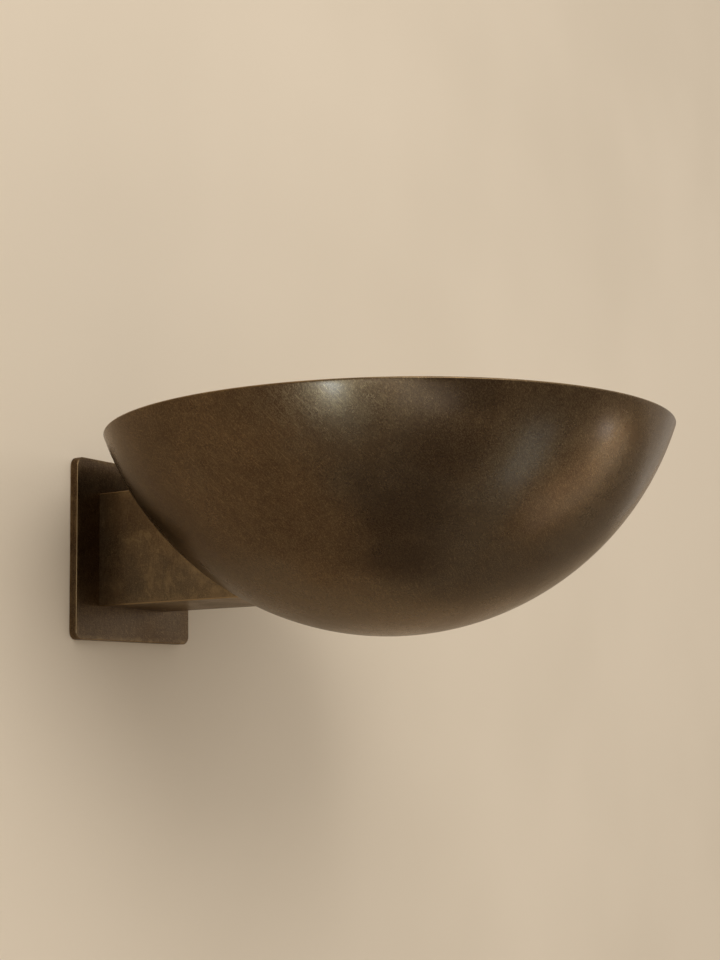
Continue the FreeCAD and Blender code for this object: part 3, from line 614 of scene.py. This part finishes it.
def with_effect(tree, effect, values):
    """Puts a group into a finish, sets its inputs by name and gives its outputs."""
    step = tree.nodes.new("ShaderNodeGroup")
    step.node_tree = effect
    for label, value in values.items():
        feed(tree, step.inputs[label], value)
    return step.outputs


print("group helpers ready")

# %% [markdown]
# ### Clouds
# Two layers of noise on the place in metres, so a cloud has the same size on a small
# piece as on a large one.

# %% Build the clouds
def make_clouds():
    """Broad clouds of the given size, and fine mottling a seventh as large."""
    sockets = [("Place", "NodeSocketVector"), ("Size", "NodeSocketFloat")]
    effect, given, results = new_effect("patina_clouds", sockets, ["Broad", "Fine"])
    scale = sum_of(effect, "DIVIDE", 1.0, given["Size"])
    broad = noise(effect, given["Place"], scale, 2.5, 0.5)
    fine = noise(effect, given["Place"], sum_of(effect, "MULTIPLY", scale, 7.0), 6.0, 0.7)
    feed(effect, results["Broad"], eased(effect, broad, 0.30, 0.70))
    feed(effect, results["Fine"], eased(effect, fine, 0.34, 0.68))
    return effect


CLOUDS = make_clouds()
print("group", CLOUDS.name, "with", len(CLOUDS.nodes), "nodes")

# %% [markdown]
# ### Strokes
# A cloth leaves hairlines in several directions. Noise that is stretched far along one
# line makes hairlines in that direction, and the strongest of four such layers is kept.

# %% Build the strokes
STROKE_LEANS = [(0.0, 0.0, 0.0), (0.62, 0.45, 0.3), (1.25, -0.35, 0.8), (-0.5, 1.1, -0.4)]


def make_strokes():
    """Hairlines: noise drawn out along one line, then the same along three others."""
    sockets = [("Place", "NodeSocketVector"), ("Stretch", "NodeSocketVector")]
    effect, given, results = new_effect("rubbed_strokes", sockets, ["Strokes"])
    strongest = 0.0
    for lean in STROKE_LEANS:
        turn = effect.nodes.new("ShaderNodeVectorRotate")
        turn.rotation_type = "EULER_XYZ"
        turn.inputs["Rotation"].default_value = lean
        feed(effect, turn.inputs["Vector"], given["Place"])
        drawn_out = vector_sum(effect, "MULTIPLY", turn.outputs["Vector"], given["Stretch"])
        hairlines = eased(effect, noise(effect, drawn_out, 1.0, 2.0), 0.50, 0.80)
        strongest = sum_of(effect, "MAXIMUM", strongest, hairlines)
    feed(effect, results["Strokes"], strongest)
    return effect


STROKES = make_strokes()
print("group", STROKES.name, "with", len(STROKES.nodes), "nodes")

# %% [markdown]
# ### Edge wear
# An edge is bright on a narrow strip and scuffed in a wider one. How far a place is from
# the edge follows from its distances to the three pairs of faces of the piece's box.

# %% Build the edge wear
SCUFF_REACH = 7.0
SCUFF_SCALE = 110.0


def make_edge_wear():
    """Worn metal on the edges of a box-shaped piece, and broken scuffs beside them.

    On a face one of the three distances to the box is zero, and near an edge a second
    one is small too. So the middle one of the three tells how far away the edge is:
    max(min(a, b), min(max(a, b), c)).
    """
    sockets = [
        ("Place", "NodeSocketVector"),
        ("Half Size", "NodeSocketVector"),
        ("Reach", "NodeSocketFloat"),
    ]
    effect, given, results = new_effect("edge_wear", sockets, ["Wear"])
    inside = vector_sum(
        effect, "SUBTRACT", given["Half Size"], vector_sum(effect, "ABSOLUTE", given["Place"])
    )
    apart = effect.nodes.new("ShaderNodeSeparateXYZ")
    feed(effect, apart.inputs[0], inside)
    a, b, c = apart.outputs
    smaller = sum_of(effect, "MINIMUM", a, b)
    larger = sum_of(effect, "MAXIMUM", a, b)
    middle_one = sum_of(effect, "MAXIMUM", smaller, sum_of(effect, "MINIMUM", larger, c))
    sharp = eased(effect, middle_one, 0.0, given["Reach"], 1.0, 0.0)
    wide_reach = sum_of(effect, "MULTIPLY", given["Reach"], SCUFF_REACH)
    wide = eased(effect, middle_one, 0.0, wide_reach, 0.35, 0.0)
    spots = noise(effect, given["Place"], SCUFF_SCALE, 5.0, 0.7)
    spots = eased(effect, spots, 0.40, 0.66, 0.1, 1.0)
    scuffs = sum_of(effect, "MULTIPLY", wide, spots)
    feed(effect, results["Wear"], sum_of(effect, "MAXIMUM", sharp, scuffs))
    return effect


EDGE_WEAR = make_edge_wear()
print("group", EDGE_WEAR.name, "with", len(EDGE_WEAR.nodes), "nodes")

# %% [markdown]
# ## Aged bronze
# The plate, the arm and the bowl are one finish: brass darkened with a wash, rubbed
# back by hand and waxed. Thick wash is nearly black-brown, thin wash is olive, some of
# it has turned grey, and rubbed metal is gold. The finish starts from the dark wash and
# blends the others in by cloud, by mottle, by stroke and by wear. Where the wash is
# thick it is also rougher. The wax is a thin coat, and the wash dims the metal's shine
# at a grazing look.

# %% Mix the bronze finish
WASH_THICK = (0.054, 0.031, 0.015)
WASH_BROWN = (0.088, 0.055, 0.029)
WASH_THIN = (0.120, 0.086, 0.045)
WASH_COOL = (0.094, 0.082, 0.062)
RUBBED = (0.44, 0.30, 0.145)
DUST = (0.26, 0.22, 0.18)
GRAZING_TINT = (0.82, 0.74, 0.65)
STROKE_WIDTH = 0.0005
STROKE_LENGTH = 0.006
STROKE_HEIGHT = 0.00006
STROKE_SHARE = 0.26
# Fewer strokes, and a darker colour below, where dark reflections are painted in.
STROKE_SHARE_PAINTED_DARK = 0.10
MOTTLE_SHARE = 0.30
WEAR_SHARE = 0.65
COOL_SCALE = 11.0
COOL_SHARE = 0.45
PAINTED_DARK_DIM = 0.72
ROUGH_DRIFT = 0.03
MOTTLE_ROUGHER = 0.05
WEAR_SMOOTHER = 0.08
DUST_ROUGHER = 0.45
WAX_SHARE = 0.15
WAX_ROUGHNESS = 0.18


def toned(colour, tone):
    """A colour made lighter or darker, channel by channel."""
    return tuple(c * t for c, t in zip(colour, tone))


def aged_bronze(name, centre, cloud_size, tone, rough_mean, wear_of, dust_of=None, painted_dark_of=None):
    """Darkened, rubbed and waxed brass.

    Each piece has its own tone, roughness and wear, and the bowl also has dust inside
    and painted dark reflections, darker and with fewer strokes.
    """
    finish, tree, shader = new_finish(name)
    place = place_from(tree, centre)
    clouds = with_effect(tree, CLOUDS, {"Place": place, "Size": cloud_size})
    stretch = (1 / STROKE_WIDTH, 1 / STROKE_WIDTH, 1 / STROKE_LENGTH)
    strokes = with_effect(tree, STROKES, {"Place": place, "Stretch": stretch})["Strokes"]
    wear = wear_of(tree, place)
    colour = blended(tree, clouds["Broad"], toned(WASH_THICK, tone), toned(WASH_BROWN, tone))
    mottle = sum_of(tree, "MULTIPLY", clouds["Fine"], MOTTLE_SHARE)
    colour = blended(tree, mottle, colour, toned(WASH_THIN, tone))
    cool = eased(tree, noise(tree, place, COOL_SCALE, 3.0, 0.5), 0.44, 0.62, 0.0, COOL_SHARE)
    colour = blended(tree, cool, colour, toned(WASH_COOL, tone))
    stroke_share = STROKE_SHARE
    # Painted dark reflections: the wash colour dimmed, with fewer strokes, under the mask.
    if painted_dark_of:
        painted_dark_share = painted_dark_of(tree, place)
        painted_dark_colour = toned(WASH_THICK, [PAINTED_DARK_DIM * t for t in tone])
        colour = blended(tree, painted_dark_share, colour, painted_dark_colour)
        fewer = STROKE_SHARE_PAINTED_DARK - STROKE_SHARE
        stroke_share = sum_of(tree, "MULTIPLY_ADD", painted_dark_share, fewer, STROKE_SHARE)
    colour = blended(tree, sum_of(tree, "MULTIPLY", strokes, stroke_share), colour, RUBBED)
    colour = blended(tree, sum_of(tree, "MULTIPLY", wear, WEAR_SHARE), colour, RUBBED)
    rougher, smoother = rough_mean + ROUGH_DRIFT, rough_mean - ROUGH_DRIFT
    rough = eased(tree, clouds["Broad"], 0.0, 1.0, rougher, smoother)
    rough = sum_of(tree, "ADD", rough, sum_of(tree, "MULTIPLY", clouds["Fine"], MOTTLE_ROUGHER))
    rough = sum_of(tree, "SUBTRACT", rough, sum_of(tree, "MULTIPLY", wear, WEAR_SMOOTHER))
    metal = 1.0
    if dust_of:
        dust = dust_of(tree, place)
        colour = blended(tree, dust, colour, DUST)
        rough = sum_of(tree, "ADD", rough, sum_of(tree, "MULTIPLY", dust, DUST_ROUGHER))
        metal = sum_of(tree, "SUBTRACT", 1.0, dust)
    feed(tree, shader.inputs["Base Color"], colour)
    feed(tree, shader.inputs["Roughness"], rough)
    feed(tree, shader.inputs["Metallic"], metal)
    shader.inputs["Specular Tint"].default_value = (*GRAZING_TINT, 1.0)
    shader.inputs["Coat Weight"].default_value = WAX_SHARE
    shader.inputs["Coat Roughness"].default_value = WAX_ROUGHNESS
    height = sum_of(tree, "ADD", strokes, sum_of(tree, "MULTIPLY", clouds["Fine"], 0.3))
    raised(tree, shader, height, STROKE_HEIGHT)
    return finish


def box_wear(half_size, reach):
    """Wear along the edges of a box of that half size."""
    return lambda tree, place: with_effect(
        tree, EDGE_WEAR, {"Place": place, "Half Size": half_size, "Reach": reach}
    )["Wear"]


def dressed(piece, finish):
    """Gives a piece one finish all over."""
    piece.data.materials.clear()
    piece.data.materials.append(finish)


def middle_and_half(name):
    """The middle of a piece's box, and half its size."""
    low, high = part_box(name)
    return (low + high) / 2, (high - low) / 2


print("bronze ready, washes", WASH_THICK, WASH_BROWN, WASH_THIN)

# %% [markdown]
# ## The plate, the arm and the backing plate
# All three are boxes, so their worn edges follow from the middle and the half size of
# each box. The arm has no bare end, because one is brazed to the plate and the other is
# against the bowl, so its box is taken much longer than the arm. A cloth leaves a rubbed
# band where the arm meets the bowl, and smeared bright patches along its faces.

# %% Dress the plate, the arm and the backing plate
ARM_LENGTHWISE = 1.0
ARM_EDGE_REACH = 0.0011
PLATE_EDGE_REACH = 0.0005
BACKING_EDGE_REACH = 0.002
MOUTH_WEAR_REACH = 0.014
SMEAR_WIDTH = 1 / 300
SMEAR_LENGTH = 1 / 45
PLATE_TONE = (0.74, 0.62, 0.54)
ARM_TONE = (1.02, 0.96, 0.88)

plate_middle, plate_half = middle_and_half("wall_plate")
arm_middle, arm_half = middle_and_half("arm_tube")
backing_middle, backing_half = middle_and_half("backing_plate")


def arm_wear(tree, place):
    """Worn edges, rubbed patches, and a band where the arm meets the bowl's sphere."""
    edges = box_wear((arm_half.x, ARM_LENGTHWISE, arm_half.z), ARM_EDGE_REACH)(tree, place)
    distance = tree.nodes.new("ShaderNodeVectorMath")
    distance.operation = "DISTANCE"
    feed(tree, distance.inputs[0], place)
    feed(tree, distance.inputs[1], sphere_centre - arm_middle)
    near_bowl = eased(
        tree, distance.outputs["Value"], outer_radius, outer_radius + MOUTH_WEAR_REACH, 0.5, 0.0
    )
    spots = eased(tree, noise(tree, place, 140.0, 5.0, 0.65), 0.35, 0.65, 0.25, 1.0)
    band = sum_of(tree, "MULTIPLY", near_bowl, spots)
    smear = (1 / SMEAR_WIDTH, 1 / SMEAR_WIDTH, 1 / SMEAR_LENGTH)
    streaky = with_effect(tree, STROKES, {"Place": place, "Stretch": smear})
    patches = eased(tree, noise(tree, place, 30.0, 6.0, 0.68), 0.44, 0.66, 0.0, 0.30)
    streaks = eased(tree, streaky["Strokes"], 0.0, 0.7, 0.45, 1.3)
    patches = sum_of(tree, "MULTIPLY", patches, streaks)
    return sum_of(tree, "MAXIMUM", edges, sum_of(tree, "MAXIMUM", band, patches))


plate_wear = box_wear(plate_half, PLATE_EDGE_REACH)
backing_wear = box_wear(backing_half, BACKING_EDGE_REACH)
plate_bronze = aged_bronze("bronze_plate", plate_middle, 0.060, PLATE_TONE, 0.33, plate_wear)
arm_bronze = aged_bronze("bronze_arm", arm_middle, 0.026, ARM_TONE, 0.40, arm_wear)
backing_bronze = aged_bronze("bronze_backing", backing_middle, 0.020, ARM_TONE, 0.36, backing_wear)
dressed(nodes["wall_plate"], plate_bronze)
dressed(nodes["arm_tube"], arm_bronze)
dressed(nodes["backing_plate"], backing_bronze)
print("bronze on plate, arm and backing plate")

# %% [markdown]
# ## The bowl's finish
# The bowl is the same bronze with marks of its own. Its rim is rubbed bright, as a rim
# is that hands have held, and inside it lies the grey dust that every open uplighter
# gathers. Both follow from the place on the sphere: the height tells the rim, and the
# distance to the sphere's centre tells the inside from the outside. A slanting row of
# darker clouds is painted reflection: dark reflections of the room painted into the
# colour, placed where the photograph shows them.

# %% Finish the bowl
BOWL_TONE = (0.86, 0.80, 0.74)
RIM_WEAR_REACH = 0.0010
DUST_RISE = 0.050
DUST_AT_BOTTOM = 0.45
DUST_HIGHER = 0.05
SKIN_BLEND = 0.0003
RAGGED_SCALE = 26.0
RAGGED_REACH = 0.025
PAINTED_REFLECTION_CORE = 0.15
PAINTED_REFLECTION_SHARE = 0.75
# Places and sizes of the painted dark reflections on the bowl.
PAINTED_REFLECTION_PLACES = [
    ((462, 392), 0.026), ((440, 450), 0.034), ((415, 505), 0.040), ((395, 560), 0.030)
]
PAINTED_REFLECTION_SPOTS = [(mirrored(pixel)[0] - sphere_centre, size) for pixel, size in PAINTED_REFLECTION_PLACES]


def rim_wear(tree, place):
    """1 at the rim, 0 below it. Heights are counted from the sphere's centre."""
    apart = tree.nodes.new("ShaderNodeSeparateXYZ")
    feed(tree, apart.inputs[0], place)
    rim = rim_height - sphere_centre.z
    near = eased(tree, apart.outputs["Z"], rim - RIM_WEAR_REACH, rim)
    spots = eased(tree, noise(tree, place, 90.0, 4.0), 0.35, 0.65, 0.35, 1.0)
    return sum_of(tree, "MULTIPLY", near, spots)


def bowl_dust(tree, place):
    """Dust on the inner skin, thickest at the bottom."""
    distance = tree.nodes.new("ShaderNodeVectorMath")
    distance.operation = "LENGTH"
    feed(tree, distance.inputs[0], place)
    halfway = (inner_radius + outer_radius) / 2
    away = distance.outputs["Value"]
    inside = eased(tree, away, halfway - SKIN_BLEND, halfway + SKIN_BLEND, 1.0, 0.0)
    apart = tree.nodes.new("ShaderNodeSeparateXYZ")
    feed(tree, apart.inputs[0], place)
    bottom = -inner_radius
    top = bottom + DUST_RISE
    low = eased(tree, apart.outputs["Z"], bottom, top, DUST_AT_BOTTOM, DUST_HIGHER)
    patches = eased(tree, noise(tree, place, 60.0, 6.0, 0.65), 0.35, 0.70, 0.35, 1.0)
    return sum_of(tree, "MULTIPLY", inside, sum_of(tree, "MULTIPLY", low, patches))


def painted_reflection_mask(tree, place):
    """1 in the middle of each painted dark reflection, 0 beyond its ragged edge."""
    ragged = noise(tree, place, RAGGED_SCALE, 4.0, 0.6)
    ragged = sum_of(tree, "MULTIPLY_ADD", ragged, 2 * RAGGED_REACH, -RAGGED_REACH)
    darkest_reflection = 0.0
    for spot, size in PAINTED_REFLECTION_SPOTS:
        distance = tree.nodes.new("ShaderNodeVectorMath")
        distance.operation = "DISTANCE"
        feed(tree, distance.inputs[0], place)
        feed(tree, distance.inputs[1], spot)
        away = sum_of(tree, "ADD", distance.outputs["Value"], ragged)
        cloud = eased(tree, away, size * PAINTED_REFLECTION_CORE, size, PAINTED_REFLECTION_SHARE, 0.0)
        darkest_reflection = sum_of(tree, "MAXIMUM", darkest_reflection, cloud)
    return darkest_reflection


# The bowl's colour also carries painted dark reflections of the room.
bowl_bronze = aged_bronze(
    "bronze_bowl", sphere_centre, 0.050, BOWL_TONE, 0.27, rim_wear, bowl_dust, painted_reflection_mask
)
dressed(bowl_skin, bowl_bronze)
print("bronze on the bowl, dust inside it")

# %% [markdown]
# ## Working metals
# Behind the plate and inside the bowl are the metals of a workshop: brass, nickelled
# brass, zinc-plated and blackened steel, and solder. None is one even colour. Plating
# has a crystal bloom, brass tans, and a black finish rubs off on high spots. One recipe
# makes them all, from a dull and a bright tone.

# %% Finish the working metals
METAL_MOTTLE = 0.35
METAL_BUMP = 0.00003


def worked_metal(name, dull, bright, rough_low, rough_high, grain):
    """Bare or plated metal whose tone and gloss drift with fine clouds and strokes."""
    finish, tree, shader = new_finish(name)
    place = place_from(tree, (0, 0, 0))
    clouds = with_effect(tree, CLOUDS, {"Place": place, "Size": grain})
    stretch = (1 / STROKE_WIDTH, 1 / STROKE_LENGTH, 1 / STROKE_WIDTH)
    strokes = with_effect(tree, STROKES, {"Place": place, "Stretch": stretch})["Strokes"]
    colour = blended(tree, clouds["Broad"], dull, bright)
    colour = blended(tree, sum_of(tree, "MULTIPLY", clouds["Fine"], METAL_MOTTLE), colour, dull)
    feed(tree, shader.inputs["Base Color"], colour)
    rough = eased(tree, clouds["Fine"], 0.0, 1.0, rough_low, rough_high)
    feed(tree, shader.inputs["Roughness"], rough)
    shader.inputs["Metallic"].default_value = 1.0
    height = sum_of(tree, "ADD", strokes, sum_of(tree, "MULTIPLY", clouds["Fine"], 0.5))
    raised(tree, shader, height, METAL_BUMP)
    return finish


METALS = {
    "plain_brass": ("brass", (0.52, 0.35, 0.13), (0.78, 0.56, 0.25), 0.22, 0.36, 0.008),
    "nickel_brass": ("nickelled", (0.52, 0.49, 0.43), (0.74, 0.71, 0.64), 0.16, 0.30, 0.006),
    "zinc_steel": ("zinc_plated", (0.42, 0.44, 0.46), (0.66, 0.68, 0.69), 0.28, 0.46, 0.007),
    "black_steel": (
        "blackened", (0.018, 0.018, 0.019), (0.055, 0.052, 0.050), 0.35, 0.52, 0.006
    ),
    "solder": ("solder", (0.34, 0.34, 0.33), (0.58, 0.58, 0.56), 0.30, 0.48, 0.003),
}
finishes = {slot: worked_metal(*values) for slot, values in METALS.items()}
metal_count = len(finishes)
print("metals:", sorted(finishes))

# %% [markdown]
# ## Glaze, plastic and rubber
# The lampholder's core is glazed porcelain: warm white clay under a clear glassy coat. The
# terminal block is a milky plastic, the leads are soft plastics, and the bush where
# the cable enters is rubber. These are not metals, so their colour comes from inside
# the stuff, and a faint mottle and a fine bump keep them from looking printed. The
# lamp's black glass foot and the coat of its filaments are made the same way.

# %% Finish the porcelain, plastics and rubber
FINEST = 0.00002
FINE = 0.00003
COARSE = 0.00006
GLAZE_SHARE = 0.9
GLAZE_ROUGHNESS = 0.06


def moulded(name, deep, pale, rough_low, rough_high, grain, bump):
    """A moulded or fired stuff with a faint mottle and a fine surface."""
    finish, tree, shader = new_finish(name)
    place = place_from(tree, (0, 0, 0))
    clouds = with_effect(tree, CLOUDS, {"Place": place, "Size": grain})
    colour = blended(tree, clouds["Broad"], deep, pale)
    feed(tree, shader.inputs["Base Color"], colour)
    rough = eased(tree, clouds["Fine"], 0.0, 1.0, rough_low, rough_high)
    feed(tree, shader.inputs["Roughness"], rough)
    raised(tree, shader, clouds["Fine"], bump)
    return finish, tree, shader


def striped(name, ground, stripe, wave_scale):
    """Insulation in two colours, in slanting bands along the core."""
    finish, tree, shader = moulded(name, ground, ground, 0.38, 0.50, 0.004, FINEST)
    place = place_from(tree, (0, 0, 0))
    wave = tree.nodes.new("ShaderNodeTexWave")
    wave.bands_direction = "DIAGONAL"
    feed(tree, wave.inputs["Vector"], place)
    feed(tree, wave.inputs["Scale"], wave_scale)
    bands = eased(tree, wave.outputs[0], 0.52, 0.60)
    feed(tree, shader.inputs["Base Color"], blended(tree, bands, ground, stripe))
    return finish


porcelain, _, glaze = moulded(
    "glazed_porcelain", (0.66, 0.63, 0.56), (0.78, 0.76, 0.71), 0.30, 0.42, 0.012, FINE
)
glaze.inputs["Coat Weight"].default_value = GLAZE_SHARE
glaze.inputs["Coat Roughness"].default_value = GLAZE_ROUGHNESS

finishes["porcelain"] = porcelain
MOULDED = {
    "terminal_plastic": (
        "milky_plastic", (0.52, 0.50, 0.44), (0.64, 0.62, 0.56), 0.38, 0.50, 0.006, FINE
    ),
    "black_rubber": (
        "bush_rubber", (0.012, 0.012, 0.012), (0.030, 0.029, 0.028), 0.60, 0.78, 0.003, COARSE
    ),
    "lead_sheath": ("sheath", (0.50, 0.48, 0.44), (0.62, 0.60, 0.56), 0.42, 0.55, 0.005, FINE),
    "neutral_insulation": (
        "blue_core", (0.012, 0.085, 0.33), (0.022, 0.13, 0.44), 0.38, 0.50, 0.004, FINEST
    ),
    "live_insulation": (
        "brown_core", (0.085, 0.034, 0.014), (0.13, 0.055, 0.024), 0.38, 0.50, 0.004, FINEST
    ),
    "black_glass": (
        "black_foot_glass", (0.008, 0.006, 0.010), (0.022, 0.016, 0.024), 0.10, 0.22, 0.004, FINE
    ),
    "filament_coating": (
        "phosphor", (0.62, 0.33, 0.03), (0.80, 0.50, 0.07), 0.50, 0.66, 0.002, FINE
    ),
}
for slot, values in MOULDED.items():
    finishes[slot] = moulded(*values)[0]
finishes["earth_insulation"] = striped(
    "green_yellow_core", (0.02, 0.22, 0.05), (0.72, 0.58, 0.04), 150.0
)
print("soft and fired stuffs:", len(finishes) - metal_count)

# %% [markdown]
# ## Glass and filaments
# The lamp is blown glass, frosted inside, round four straight filament rods. Frosting
# is etched, so its haze drifts a little, and it scatters some of the light, so the glass
# lets only a part straight through. The stem that carries the rods is clear.

# %% Finish the lamp
HAZE_SIZE = 0.02
GLASS_IOR = 1.47


def lamp_glass(name, tint_low, tint_high, rough_low, rough_high, clear_share):
    """Clear or frosted glass with a slight drift in its tint and gloss."""
    finish, tree, shader = new_finish(name)
    place = place_from(tree, (0, 0, 0))
    clouds = with_effect(tree, CLOUDS, {"Place": place, "Size": HAZE_SIZE})
    feed(tree, shader.inputs["Base Color"], blended(tree, clouds["Broad"], tint_low, tint_high))
    rough = eased(tree, clouds["Broad"], 0.0, 1.0, rough_low, rough_high)
    feed(tree, shader.inputs["Roughness"], rough)
    shader.inputs["Transmission Weight"].default_value = clear_share
    shader.inputs["IOR"].default_value = GLASS_IOR
    return finish


finishes["lamp_glass"] = lamp_glass(
    "frosted_glass", (0.86, 0.85, 0.82), (0.93, 0.92, 0.89), 0.24, 0.34, 0.72
)
finishes["stem_glass"] = lamp_glass(
    "pressed_glass", (0.90, 0.93, 0.91), (0.97, 0.98, 0.97), 0.0, 0.08, 1.0
)

SLOT_NODES = {
    "plain_brass": [
        "earth_stud", "earth_ring_tag", "earth_nut", "terminal_clamps", "saddle_bar",
        "lamp_tube", "tube_nuts", "tube_washer", "holder_cap", "holder_shell",
    ],
    "nickel_brass": ["holder_centre_contact"],
    "zinc_steel": ["wall_bracket", "terminal_screws", "terminal_fixing_screw", "lamp_spiders"],
    "black_steel": ["grub_screws", "bolt_washers", "bowl_bolts"],
    "solder": ["lamp_tip_contact"],
    "porcelain": ["holder_insert"],
    "terminal_plastic": ["terminal_block"],
    "black_rubber": ["supply_bush"],
    "lead_sheath": ["lamp_lead"],
    "neutral_insulation": ["neutral_core"],
    "live_insulation": ["live_core"],
    "earth_insulation": ["earth_core", "earth_link"],
    "lamp_glass": ["lamp_glass"],
    "stem_glass": ["lamp_stem"],
    "black_glass": ["lamp_insulator"],
    "filament_coating": ["lamp_filaments"],
}
for slot, members in SLOT_NODES.items():
    for member in members:
        dressed(nodes[member], finishes[slot])
dressed(cap_piece, finishes["nickel_brass"])
dressed(sleeve_piece, finishes["nickel_brass"])
dressed_count = sum(len(members) for members in SLOT_NODES.values())
print("dressed", dressed_count, "packed pieces and both threads")
